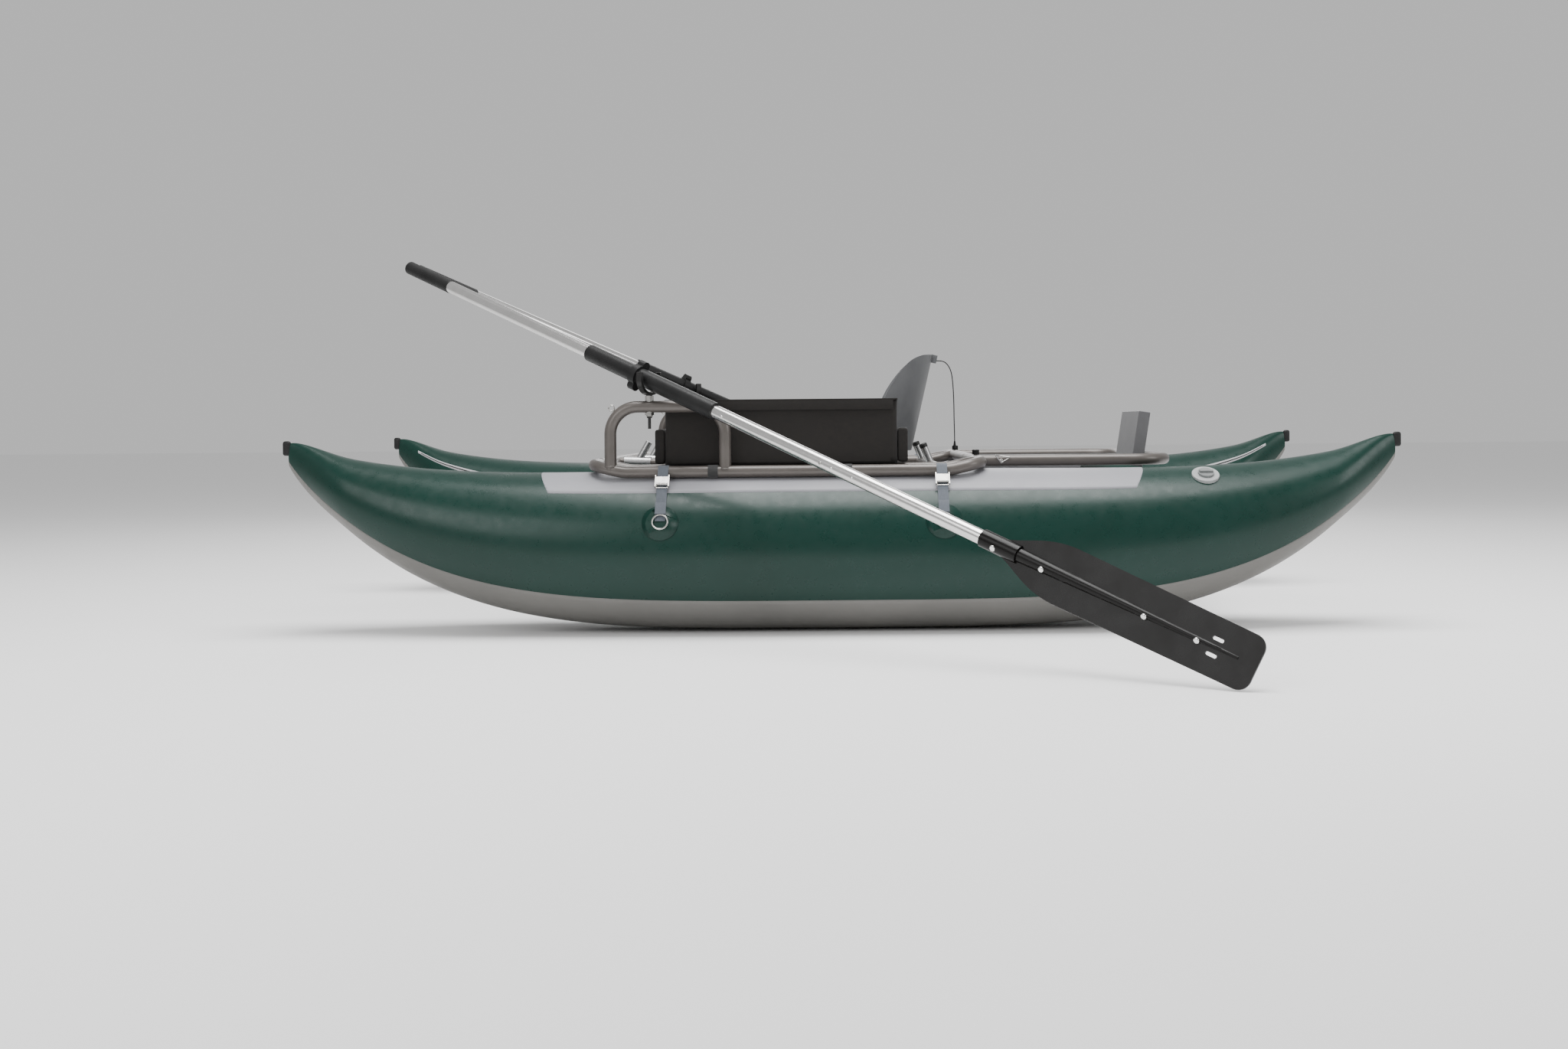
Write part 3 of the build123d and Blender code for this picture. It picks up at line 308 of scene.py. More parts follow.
for side_name, side in sides:
    bm = pontoon_skin(0, 360, half_length, 0)
    bmesh.ops.holes_fill(bm, edges=[e for e in bm.edges if e.is_boundary])
    bmesh.ops.recalc_face_normals(bm, faces=bm.faces)
    cover = keep_piece(bm, f"{side_name}_cover", side, "hull", [cover_green])
    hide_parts(f"{side_name}_pontoon_cover")

patch_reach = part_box("top_patches")[1].x
patch_slant = 0.035


def sheet_of_cloth(bm, name, side, slot_name, material, *replaced):
    """Give a skin on the pontoon its thickness and keep it."""
    piece = keep_piece(bm, name, side, "hull", [material])
    thickness = piece.modifiers.new("thickness", "SOLIDIFY")
    thickness.thickness = patch_thickness
    thickness.offset = 1
    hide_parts(*replaced)
    return piece


for side_name, side in sides:
    bm = pontoon_skin(-42, 42, patch_reach, patch_lift)
    # The patch is cut on a slant at both ends
    patch_drop = pontoon_radius * (1 - cos(radians(42)))
    for end in (-1, 1):
        edge_point = (end * (patch_reach - patch_slant), pontoon_y, axis_z + pontoon_radius - patch_drop)
        slant = Vector((end, 0, -patch_slant / patch_drop))
        bmesh.ops.bisect_plane(
            bm, geom=[*bm.verts, *bm.edges, *bm.faces], plane_co=edge_point, plane_no=slant, clear_outer=True
        )
    sheet_of_cloth(bm, f"{side_name}_top_patch", side, "patch_cloth", patch_grey, "top_patches")
    bm = pontoon_skin(125, 235, half_length, patch_lift)
    sheet_of_cloth(bm, f"{side_name}_wear_strip", side, "strip_cloth", strip_grey, "wear_strips")

# ---- Zippers ---------------------------------------------------------------------------------
# A zipper runs the length of each cover, just inboard of the top, so that the bladder comes out.
# Its grey tape is sewn to the cover, with a black coil down the middle.
zipper_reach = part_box("zippers")[1].x
coil_lift = patch_lift + patch_thickness
tape_grey = coated_cloth("tape_grey", (0.33, 0.33, 0.34), (0.4, 0.4, 0.41), 0.6, 0.2)


def coil_black():
    """Row of nylon zipper teeth, across the run of the tape."""
    material, tree, shader, place = new_material("coil_black")
    teeth = tree.nodes.new("ShaderNodeTexWave")
    teeth.bands_direction = "X"
    teeth.inputs["Scale"].default_value = 160
    tree.links.new(place, teeth.inputs["Vector"])
    colour = shader.inputs["Base Color"]
    two_tone(tree, teeth.outputs["Fac"], (0.003, 0.003, 0.003), (0.02, 0.02, 0.02), colour)
    grain = noise(tree, place, 90, 4)
    tree.links.new(spread(tree, grain, 0.35, 0.55), shader.inputs["Roughness"])
    relief(tree, shader, [(teeth.outputs["Fac"], 0.8, 0.0008)])
    return material


coil_finish = coil_black()
for side_name, side in sides:
    bm = pontoon_skin(-57, -49, zipper_reach, patch_lift)
    sheet_of_cloth(bm, f"{side_name}_zipper_tape", side, "zipper_tape", tape_grey, "zippers")
    bm = pontoon_skin(-54, -52, zipper_reach - 0.01, coil_lift)
    coil = keep_piece(bm, f"{side_name}_zipper_coil", side, "hull", [coil_finish])
    thickness = coil.modifiers.new("thickness", "SOLIDIFY")
    thickness.thickness = 0.0014
    thickness.offset = 1

# ---- Tips ------------------------------------------------------------------------------------
# Black rubber tabs closed over the ends of the covers.
def black_rubber(name, tone=0.006, roughness=0.5):
    """Soft black rubber or webbing with a fine grain."""
    material, tree, shader, place = new_material(name)
    shader.inputs["Specular IOR Level"].default_value = 0.25
    grain = noise(tree, place, 260, 6, 0.6)
    smudge = noise(tree, place, 22, 4)
    two_tone(tree, spread(tree, smudge, 0, 1), (tone,) * 3, (tone * 1.9,) * 3, shader.inputs["Base Color"])
    tree.links.new(spread(tree, grain, roughness - 0.1, roughness + 0.1), shader.inputs["Roughness"])
    relief(tree, shader, [(grain, 0.25, 0.0006)])
    return material


tab_black = black_rubber("tab_black")
knob_black = black_rubber("knob_black", 0.005, 0.4)
grip_black = black_rubber("grip_black", 0.006, 0.55)


def dress(material, *names):
    """Give CAD nodes their finish."""
    for name in names:
        data = nodes[name].data
        data.materials.clear()
        data.materials.append(material)


dress(knob_black, "clamp_knobs", "cord_toggle")
dress(grip_black, "port_oar_grip", "starboard_oar_grip")

# ---- Frame -----------------------------------------------------------------------------------
# Bent round tube, welded and powder coated in a warm metallic grey.
def powder_coat(name, tone, light_tone, roughness=0.38):
    """Metallic powder coat: fine flake and a slight orange-peel skin."""
    material, tree, shader, place = new_material(name)
    shader.inputs["Metallic"].default_value = 0.35
    shader.inputs["Coat Weight"].default_value = 0.25
    shader.inputs["Coat Roughness"].default_value = 0.25
    flake = noise(tree, place, 1400, 2)
    worn = noise(tree, place, 16, 6, 0.6)
    two_tone(tree, spread(tree, worn, 0, 1), tone, light_tone, shader.inputs["Base Color"])
    tree.links.new(spread(tree, worn, roughness - 0.05, roughness + 0.1), shader.inputs["Roughness"])
    relief(tree, shader, [(worn, 0.08, 0.0008), (flake, 0.12, 0.0001)])
    return material


frame_grey = powder_coat("frame_grey", (0.082, 0.072, 0.065), (0.102, 0.09, 0.082))
dress(
    frame_grey, "port_side_rail", "starboard_side_rail", "port_oar_stand", "starboard_oar_stand",
    "front_crossbar", "rear_crossbar", "seat_bars", "foot_rails", "deck_frame",
)
lock_black = powder_coat("lock_black", (0.006, 0.006, 0.006), (0.012, 0.011, 0.01), 0.4)
dress(lock_black, "port_oarlock", "starboard_oarlock")

# ---- Bright metal ----------------------------------------------------------------------------
# Drawn aluminium, and stainless rings, bolts and buckles.
def bright_metal(name, tone, roughness, line_turn=(0, 0, 0), lines=(3, 400, 400)):
    """Bare metal with drawing lines along the piece; line_turn turns the lines to it."""
    material, tree, shader, place = new_material(name)
    shader.inputs["Metallic"].default_value = 1
    turn = tree.nodes.new("ShaderNodeMapping")
    turn.vector_type = "TEXTURE"
    turn.inputs["Rotation"].default_value = line_turn
    tree.links.new(place, turn.inputs["Vector"])
    stretch = tree.nodes.new("ShaderNodeMapping")
    stretch.inputs["Scale"].default_value = lines
    tree.links.new(turn.outputs["Vector"], stretch.inputs["Vector"])
    drawn = noise(tree, stretch.outputs["Vector"], 1, 3)
    marks = noise(tree, place, 30, 5, 0.6)
    two_tone(tree, spread(tree, marks, 0, 1), tone, [c * 0.88 for c in tone], shader.inputs["Base Color"])
    tree.links.new(spread(tree, drawn, roughness - 0.05, roughness + 0.12), shader.inputs["Roughness"])
    relief(tree, shader, [(drawn, 0.12, 0.0002)])
    return material


oar_pitch, oar_sweep = radians(20.05), radians(37.5)
for side_name, side in sides:
    turn = (0, oar_pitch, -side * oar_sweep)
    tube = bright_metal(f"{side_name}_shaft_metal", (0.72, 0.71, 0.7), 0.16, turn)
    dress(tube, f"{side_name}_oar_upper_shaft", f"{side_name}_oar_lower_shaft")
steel = bright_metal("stainless", (0.5, 0.49, 0.47), 0.2, lines=(60, 60, 60))
dress(
    steel, "d_rings", "eye_rings", "port_snap_button", "starboard_snap_button", "seat_hinge_pin",
    "strap_buckles",
    "port_front_buckle_lever", "port_rear_buckle_lever", "starboard_front_buckle_lever",
    "starboard_rear_buckle_lever", "lock_bushings", "lock_nuts",
)
foot_metal = bright_metal("foot_metal", (0.42, 0.42, 0.42), 0.28, lines=(40, 300, 300))
dress(foot_metal, "foot_bar", "backrest_posts")

# ---- Small round pieces ----------------------------------------------------------------------
# Turned or pressed pieces are made from a disc that is drawn out along its own line.
def turned(bm, foot, line, profile, segments=32):
    """Turned piece: profile is (distance along the line, radius) from its foot, closed at both ends."""
    along = Vector(line).normalized()
    start = Vector(foot) + along * profile[0][0]
    turn = along.to_track_quat("Z", "Y").to_matrix().to_4x4()
    made = bmesh.ops.create_circle(
        bm, cap_ends=True, segments=segments, radius=profile[0][1], matrix=Matrix.Translation(start) @ turn
    )
    face = made["verts"][0].link_faces[0]
    for (before, radius_before), (here, radius_here) in zip(profile, profile[1:]):
        grown = bmesh.ops.extrude_discrete_faces(bm, faces=[face])["faces"]
        face = grown[0]
        centre = Vector(foot) + along * before
        bmesh.ops.scale(
            bm, vec=(radius_here / radius_before,) * 3, space=Matrix.Translation(-centre), verts=face.verts
        )
        bmesh.ops.translate(bm, vec=along * (here - before), verts=face.verts)


def wire_ring(bm, centre, normal, ring_radius, wire_radius, segments=40, wire_segments=10):
    """Ring of round wire about a centre, square to a normal."""
    turn = Vector(normal).normalized().to_track_quat("Z", "Y").to_matrix().to_4x4()
    place = Matrix.Translation(Vector(centre)) @ turn
    section = Matrix.Translation((ring_radius, 0, 0)) @ Matrix.Rotation(pi / 2, 4, "X")
    made = bmesh.ops.create_circle(bm, segments=wire_segments, radius=wire_radius, matrix=place @ section)
    edges = list({e for v in made["verts"] for e in v.link_edges})
    bmesh.ops.spin(
        bm, geom=made["verts"] + edges, cent=centre, axis=place.to_3x3().col[2], angle=2 * pi,
        steps=segments, use_merge=True,
    )


def finish_bmesh(bm):
    """Merge doubles and point the faces outwards."""
    bmesh.ops.remove_doubles(bm, verts=bm.verts, dist=1e-6)
    bmesh.ops.recalc_face_normals(bm, faces=bm.faces)


# ---- Tip tabs --------------------------------------------------------------------------------
# A black webbing tab is folded over the closed end of each cover and glued round the tip.
tab_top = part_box("tip_tabs")[1].z
tab_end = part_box("tip_tabs")[1].x
tab_size = Vector((0.0195, 0.0135, 0.036))
tab_corner = 0.006
for side_name, side in sides:
    bm = bmesh.new()
    for end in (-1, 1):
        made = bmesh.ops.create_cube(bm, size=1)["verts"]
        bmesh.ops.scale(bm, vec=tab_size, verts=made)
        tab_middle = (end * (tab_end - tab_size.x / 2), pontoon_y, tab_top - tab_size.z / 2)
        bmesh.ops.translate(bm, vec=tab_middle, verts=made)
        bmesh.ops.bevel(
            bm, geom=list({e for v in made for e in v.link_edges}), offset=tab_corner, offset_type="OFFSET",
            segments=4, profile=0.5, affect="EDGES", material=-1,
        )
    finish_bmesh(bm)
    tab = keep_piece(bm, f"{side_name}_tip_tab", side, "hull", [tab_black])
    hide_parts("tip_tabs")

# ---- Valves ----------------------------------------------------------------------------------
# Welded-in air valves of pale moulded plastic, each with a twist cap.
def moulded(name, tone, light_tone, roughness, pebble=0.1, coat=0.1, gloss=0.3):
    """Moulded plastic: fine pebble, flow marks and a slightly uneven gloss."""
    material, tree, shader, place = new_material(name)
    shader.inputs["Specular IOR Level"].default_value = gloss
    shader.inputs["Coat Weight"].default_value = coat
    shader.inputs["Coat Roughness"].default_value = 0.3
    grain = noise(tree, place, 700, 3)
    marks = noise(tree, place, 14, 5, 0.6)
    two_tone(tree, spread(tree, marks, 0, 1), tone, light_tone, shader.inputs["Base Color"])
    tree.links.new(spread(tree, marks, roughness - 0.06, roughness + 0.08), shader.inputs["Roughness"])
    relief(tree, shader, [(marks, 0.1, 0.001), (grain, pebble, 0.0003)])
    return material


valve_grey = moulded("valve_grey", (0.3, 0.31, 0.31), (0.37, 0.38, 0.38), 0.38)
cap_grey = moulded("cap_grey", (0.16, 0.17, 0.17), (0.21, 0.22, 0.22), 0.42)
dress(valve_grey, "valve_bodies")
dress(cap_grey, "port_valve_cap", "starboard_valve_cap")

# ---- Seat and motor board --------------------------------------------------------------------
# A rotomoulded seat in mid grey, and a grey plastic motor board with a sawn edge.
seat_grey = moulded("seat_grey", (0.105, 0.108, 0.113), (0.14, 0.143, 0.148), 0.4, 0.2)
board_grey = moulded("board_grey", (0.095, 0.095, 0.098), (0.125, 0.125, 0.13), 0.5, 0.25)
dress(seat_grey, "seat_pan", "seat_back")
dress(board_grey, "motor_board")

# ---- Bladders --------------------------------------------------------------------------------
# Clear film bladders lie inside the covers and hold the air.
bladder_film = moulded("bladder_film", (0.5, 0.52, 0.5), (0.56, 0.58, 0.56), 0.25, 0.05, 0.4)
bladder_clearance = 0.0017
bladder_end = 0.15
for side_name, side in sides:
    bm = pontoon_skin(0, 360, half_length - bladder_end, -bladder_clearance)
    bmesh.ops.holes_fill(bm, edges=[e for e in bm.edges if e.is_boundary])
    bmesh.ops.recalc_face_normals(bm, faces=bm.faces)
    bladder = keep_piece(bm, f"{side_name}_air_bladder", side, "hull", [bladder_film])
    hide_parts(f"{side_name}_bladder")

# ---- Straps that hold the frame down ---------------------------------------------------------
# Flat grey webbing, looped through a D ring on the pontoon, up over the rail and through a cam
# buckle. Woven nylon with two thick selvedges.
def webbing(name, tone, light_tone, across="X"):
    """Woven strap: ribs across its width and a fine twill along it."""
    material, tree, shader, place = new_material(name)
    shader.inputs["Sheen Weight"].default_value = 0.25
    ribs = tree.nodes.new("ShaderNodeTexWave")
    ribs.bands_direction = across
    ribs.inputs["Scale"].default_value = 130
    tree.links.new(place, ribs.inputs["Vector"])
    twill = tree.nodes.new("ShaderNodeTexWave")
    twill.bands_direction = "DIAGONAL"
    twill.inputs["Scale"].default_value = 210
    tree.links.new(place, twill.inputs["Vector"])
    fuzz = noise(tree, place, 120, 5, 0.7)
    two_tone(tree, spread(tree, fuzz, 0, 1), tone, light_tone, shader.inputs["Base Color"])
    tree.links.new(spread(tree, fuzz, 0.6, 0.8), shader.inputs["Roughness"])
    relief(tree, shader, [(ribs.outputs["Fac"], 0.6, 0.0006), (twill.outputs["Fac"], 0.5, 0.0003)])
    return material


strap_grey = webbing("strap_grey", (0.062, 0.074, 0.092), (0.09, 0.103, 0.125))
strap_black = webbing("strap_black", (0.006, 0.006, 0.006), (0.014, 0.014, 0.014))
strap_thickness = 0.0014
strap_width = 0.025
rail_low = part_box("port_side_rail")[0]
tube_radius = 0.0143
rail_y = rail_low.y + tube_radius
strap_centres = {"front": -0.4285, "rear": 0.239}
rail_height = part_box("seat_bars")[1].z - tube_radius
strap_fit = 0.0001


def ribbon(bm, x, width, arcs):
    """Strap round a run of circles across the boat. Each arc is (y, z, radius, first, last angle)."""
    rim = None
    for y, z, radius, first, last in arcs:
        start = Vector((0, -sin(radians(first)), cos(radians(first)))) * radius
        place = Vector((x - width / 2, y, z)) + start
        vert = bmesh.ops.create_vert(bm, co=place)["vert"][0]
        if rim:
            bm.edges.new((rim, vert))
        made = bmesh.ops.spin(
            bm, geom=[vert], cent=(x, y, z), axis=(1, 0, 0), angle=radians(last - first),
            steps=max(int(abs(last - first) / 4), 3),
        )
        rim = [g for g in made["geom_last"] if isinstance(g, bmesh.types.BMVert)][0]
    edges = [e for e in bm.edges if e.is_wire]
    grown = bmesh.ops.extrude_edge_only(bm, edges=edges)["geom"]
    bmesh.ops.translate(
        bm, vec=(width, 0, 0), verts=[g for g in grown if isinstance(g, bmesh.types.BMVert)]
    )


def lay_strap(bm, name, side, slot_name, material, *replaced):
    """Give a ribbon its thickness and softly rounded selvedges."""
    piece = keep_piece(bm, name, side, "hull", [material])
    thickness = piece.modifiers.new("thickness", "SOLIDIFY")
    thickness.thickness = strap_thickness
    thickness.offset = 1
    edge = piece.modifiers.new("edge", "BEVEL")
    edge.width = 0.0004
    edge.segments = 2
    edge.limit_method = "ANGLE"
    if replaced:
        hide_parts(*replaced)
    return piece


def outward(bm, centre):
    """Point an open ribbon's faces away from the point that it wraps."""
    bmesh.ops.remove_doubles(bm, verts=bm.verts, dist=1e-6)
    for face in bm.faces:
        middle = face.calc_center_median()
        face.normal_update()
        if face.normal.dot(Vector((0, middle.y - centre[0], middle.z - centre[1]))) < 0:
            face.normal_flip()


ring_angle = 67
ring_radius = 0.018
ring_wire = 0.0022
for side_name, side in sides:
    for strap_name, x in strap_centres.items():
        section, height = pontoon_section(x)
        run_radius = section + patch_lift + patch_thickness + 2 * strap_fit
        over_radius = tube_radius + strap_fit
        across, up = rail_y - pontoon_y, rail_height - height
        reach = Vector((across, up)).length
        lean = degrees(asin(-across / reach)) + degrees(acos((run_radius - over_radius) / reach))
        bm = bmesh.new()
        ribbon(bm, x, strap_width, [
            (pontoon_y, height, run_radius, ring_angle - 1, lean),
            (rail_y, rail_height, over_radius, lean, -95),
        ])
        outward(bm, (pontoon_y, height))
        lay_strap(bm, f"{side_name}_{strap_name}_strap", side, "strap_webbing", strap_grey, "frame_straps")

# ---- Bag straps ------------------------------------------------------------------------------
# Black webbing loops sewn under each bag hold it to the outer rail.
for side_name, side in sides:
    for number, x in enumerate((-0.31, 0.012), 1):
        bm = bmesh.new()
        ribbon(bm, x, 0.024, [(rail_y, rail_height, tube_radius + strap_fit, -30, 165)])
        outward(bm, (rail_y, rail_height))
        lay_strap(bm, f"{side_name}_bag_strap_{number}", side, "strap_webbing", strap_black, "bag_straps")

# ---- D rings on the pontoons -----------------------------------------------------------------
# Stainless rings stand on round patches of cover cloth. Each patch has a raised rim round it.
ring_patch_radius = 0.043
ring_patch_green = coated_cloth("ring_patch_green", (0.0012, 0.021, 0.0145), (0.0018, 0.027, 0.0195), 0.33)


def lie_on_cover(bm, x, angle, lift):
    """Bend a flat piece that was drawn round the origin onto the port pontoon at a place and an angle."""
    for vert in bm.verts:
        across, along, up = vert.co
        section, height = pontoon_section(x + along)
        radius = section + lift + up
        turn = radians(angle) + across / section
        vert.co = (x + along, pontoon_y - radius * sin(turn), height + radius * cos(turn))


for side_name, side in sides:
    bm = bmesh.new()
    for x in strap_centres.values():
        disc = bmesh.new()
        made = bmesh.ops.create_circle(disc, cap_ends=True, segments=48, radius=ring_patch_radius)
        middle = made["verts"][0].link_faces[0]
        rim_steps = ((0.0012, 0.0003), (0.0025, 0.0007), (0.004, -0.0005), (0.008, 0), (0.01, 0), (0.009, 0))
        for inset, step in rim_steps:
            bmesh.ops.inset_region(disc, faces=[middle], thickness=inset, depth=0)
            bmesh.ops.translate(disc, vec=(0, 0, step), verts=middle.verts)
        lie_on_cover(disc, x, ring_angle, patch_lift)
        disc_mesh = bpy.data.meshes.new("disc")
        disc.to_mesh(disc_mesh)
        disc.free()
        bm.from_mesh(disc_mesh)
        bpy.data.meshes.remove(disc_mesh)
    patches = keep_piece(bm, f"{side_name}_ring_patches", side, "hull", [ring_patch_green])
    thickness = patches.modifiers.new("thickness", "SOLIDIFY")
    thickness.thickness = 0.0007
    thickness.offset = 1
    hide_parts("ring_patches")

# A tail of strap is turned back through each ring and sewn down.
for side_name, side in sides:
    for strap_name, x in strap_centres.items():
        section, height = pontoon_section(x)
        wire_lift = patch_lift + patch_thickness + 2 * strap_thickness + ring_wire + 0.0003
        wire_angle = ring_angle - degrees(ring_radius / section)
        wire_reach = section + wire_lift
        wire_y = pontoon_y - wire_reach * sin(radians(wire_angle))
        wire_z = height + wire_reach * cos(radians(wire_angle))
        fold_radius = ring_wire + 0.0002
        outer_reach = wire_reach + fold_radius
        bm = bmesh.new()
        ribbon(bm, x, strap_width, [
            (wire_y, wire_z, fold_radius, wire_angle + 180, wire_angle + 360),
            (pontoon_y, height, outer_reach, wire_angle, wire_angle - 9),
        ])
        outward(bm, (pontoon_y, height))
        lay_strap(bm, f"{side_name}_{strap_name}_strap_fold", side, "strap_webbing", strap_grey)

# ---- Side bags -------------------------------------------------------------------------------
# Stiff box bags of coated black polyester, with bound seams, a full lid and a pocket at each end.
bag_low, bag_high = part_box("port_bag_body")
lid_low, lid_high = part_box("port_bag_lid")
pocket_depth = 0.026
pocket_top = 0.492
binding = 0.007


def bag_cloth(name, tone, light_tone):
    """Black polyester pack cloth: plain weave, a dry sheen and faint creases."""
    material, tree, shader, place = new_material(name)
    shader.inputs["Specular IOR Level"].default_value = 0.18
    shader.inputs["Sheen Weight"].default_value = 0.08
    warp = tree.nodes.new("ShaderNodeTexWave")
    warp.bands_direction = "X"
    warp.inputs["Scale"].default_value = 360
    weft = tree.nodes.new("ShaderNodeTexWave")
    weft.bands_direction = "Z"
    weft.inputs["Scale"].default_value = 360
    tree.links.new(place, warp.inputs["Vector"])
    tree.links.new(place, weft.inputs["Vector"])
    crease = noise(tree, place, 9, 6, 0.55)
    dust = noise(tree, place, 60, 6, 0.7)
    two_tone(tree, spread(tree, dust, 0, 1), tone, light_tone, shader.inputs["Base Color"])
    tree.links.new(spread(tree, dust, 0.62, 0.8), shader.inputs["Roughness"])
    relief(tree, shader, [
        (crease, 0.35, 0.01), (warp.outputs["Fac"], 0.35, 0.0003), (weft.outputs["Fac"], 0.35, 0.0003),
    ])
    return material


bag_black = bag_cloth("bag_black", (0.011, 0.0098, 0.009), (0.017, 0.015, 0.0135))


def cloth_box(bm, low, high, corner, open_top=False):
    """Box of cloth with rounded upright corners."""
    made = bmesh.ops.create_cube(bm, size=1)["verts"]
    bmesh.ops.scale(bm, vec=[h - l for l, h in zip(low, high)], verts=made)
    bmesh.ops.translate(bm, vec=[(h + l) / 2 for l, h in zip(low, high)], verts=made)
    box_edges = {e for v in made for e in v.link_edges}
    upright = [e for e in box_edges if abs(e.verts[0].co.z - e.verts[1].co.z) > 0.01]
    bmesh.ops.bevel(
        bm, geom=upright, offset=corner, offset_type="OFFSET", segments=4, profile=0.5, affect="EDGES",
        material=-1,
    )
    if open_top:
        top = [f for f in bm.faces if f.normal.z > 0.9]
        bmesh.ops.delete(bm, geom=top, context="FACES_ONLY")


def cut_up(bm, longest, cuts):
    """Divide the long edges, so that the cloth between them can sag."""
    long_edges = [e for e in bm.edges if e.calc_length() > longest]
    bmesh.ops.subdivide_edges(bm, edges=long_edges, cuts=cuts, use_grid_fill=True)


def slacken(bm, low, high, depth, seed):
    """Let panels sink softly between their seams, with a few shallow creases."""
    centre = Vector([(l + h) / 2 for l, h in zip(low, high)])
    half = Vector([(h - l) / 2 for l, h in zip(low, high)])
    bm.normal_update()
    shifts = []
    for vert in bm.verts:
        local = [abs(vert.co[k] - centre[k]) / half[k] for k in range(3)]
        flat = [max(0, 1 - c**4) for c in local]
        facing = max(range(3), key=lambda k: abs(vert.normal[k]))
        loose = 1
        for k in range(3):
            if k != facing:
                loose *= flat[k]
        crease = mathutils_noise.noise(Vector((vert.co.x * 9 + seed, vert.co.y * 14, vert.co.z * 16)))
        shifts.append(vert.normal * loose * depth * (-0.6 + 0.7 * crease))
    for vert, shift in zip(bm.verts, shifts):
        vert.co += shift


for number, (side_name, side) in enumerate(sides):
    bm = bmesh.new()
    low = (bag_low.x + pocket_depth, bag_low.y, bag_low.z)
    high = (bag_high.x - pocket_depth, bag_high.y, bag_high.z)
    cloth_box(bm, low, high, 0.012, open_top=True)
    walls = [f for f in bm.faces if abs(f.normal.z) < 0.5 and f.calc_area() > 0.003]
    bmesh.ops.inset_individual(bm, faces=walls, thickness=binding, depth=-0.0009, use_even_offset=True)
    cut_up(bm, 0.05, 12)
    slacken(bm, low, high, 0.003, 3.1 + number)
    bmesh.ops.recalc_face_normals(bm, faces=bm.faces)
    body = keep_piece(bm, f"{side_name}_bag", side, "hull", [bag_black])
    wall = body.modifiers.new("wall", "SOLIDIFY")
    wall.thickness = 0.0028
    wall.offset = -1
    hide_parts(f"{side_name}_bag_body")
    for end_name, end in (("front", -1), ("rear", 1)):
        bm = bmesh.new()
        inner_x = low[0] if end == -1 else high[0]
        outer_x = inner_x + end * pocket_depth
        pocket_low = (min(inner_x, outer_x), bag_low.y + 0.006, bag_low.z)
        pocket_high = (max(inner_x, outer_x), bag_high.y - 0.006, pocket_top)
        cloth_box(bm, pocket_low, pocket_high, 0.008)
        cut_up(bm, 0.03, 6)
        bmesh.ops.smooth_vert(bm, verts=bm.verts, factor=0.25, use_axis_x=True, use_axis_z=True)
        slacken(bm, pocket_low, pocket_high, 0.004, 7.7 + end)
        bmesh.ops.recalc_face_normals(bm, faces=bm.faces)
        pocket = keep_piece(bm, f"{side_name}_{end_name}_pocket", side, "hull", [bag_black])
        softened = pocket.modifiers.new("softened", "SUBSURF")
        softened.levels = softened.render_levels = 1
    # The lid: a top panel with a front flap, turned down and bound
    bm = bmesh.new()
    cloth_box(bm, (lid_low.x, lid_low.y, lid_high.z - 0.0035), tuple(lid_high), 0.003)
    made = bmesh.ops.create_cube(bm, size=1)["verts"]
    bmesh.ops.scale(bm, vec=(lid_high.x - lid_low.x - 0.02, 0.0033, 0.0245), verts=made)
    bmesh.ops.translate(
        bm, vec=((lid_low.x + lid_high.x) / 2, lid_low.y + 0.0018, lid_high.z - 0.002 - 0.0122), verts=made
    )
    bmesh.ops.bevel(
        bm, geom=list({e for v in made for e in v.link_edges}), offset=0.001, offset_type="OFFSET",
        segments=3, profile=0.5, affect="EDGES", material=-1,
    )
    cut_up(bm, 0.04, 14)
    bmesh.ops.recalc_face_normals(bm, faces=bm.faces)
    lid = keep_piece(bm, f"{side_name}_lid", side, f"{side_name}_bag_lid", [bag_black])
    rounded = lid.modifiers.new("rounded", "BEVEL")
    rounded.width = 0.0012
    rounded.segments = 3
    rounded.limit_method = "ANGLE"
    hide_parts(f"{side_name}_bag_lid")

# ---- Rear deck -------------------------------------------------------------------------------
# A panel of open black mesh cloth with a bound hem, stretched inside the deck tube and cut out
# for the motor board.
deck_low, deck_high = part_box("deck_mesh")
deck_corner = 0.0697
slot_half = 0.145
slot_x = 0.7312
hem_width = 0.022


def mesh_cloth(name):
    """Vinyl-coated mesh: a square open weave of round threads."""
    material, tree, shader, place = new_material(name)
    shader.inputs["Specular IOR Level"].default_value = 0.3
    threads = []
    for direction in ("X", "Y"):
        thread = tree.nodes.new("ShaderNodeTexWave")
        thread.bands_direction = direction
        thread.inputs["Scale"].default_value = 150
        tree.links.new(place, thread.inputs["Vector"])
        threads.append(thread.outputs["Fac"])
    cross = tree.nodes.new("ShaderNodeMath")
    cross.operation = "MULTIPLY"
    for thread, socket in zip(threads, cross.inputs):
        tree.links.new(thread, socket)
    two_tone(tree, cross.outputs[0], (0.003, 0.003, 0.003), (0.03, 0.03, 0.031), shader.inputs["Base Color"])
    dust = noise(tree, place, 30, 5)
    tree.links.new(spread(tree, dust, 0.5, 0.7), shader.inputs["Roughness"])
    relief(tree, shader, [(cross.outputs[0], 0.9, 0.0012)])
    return material


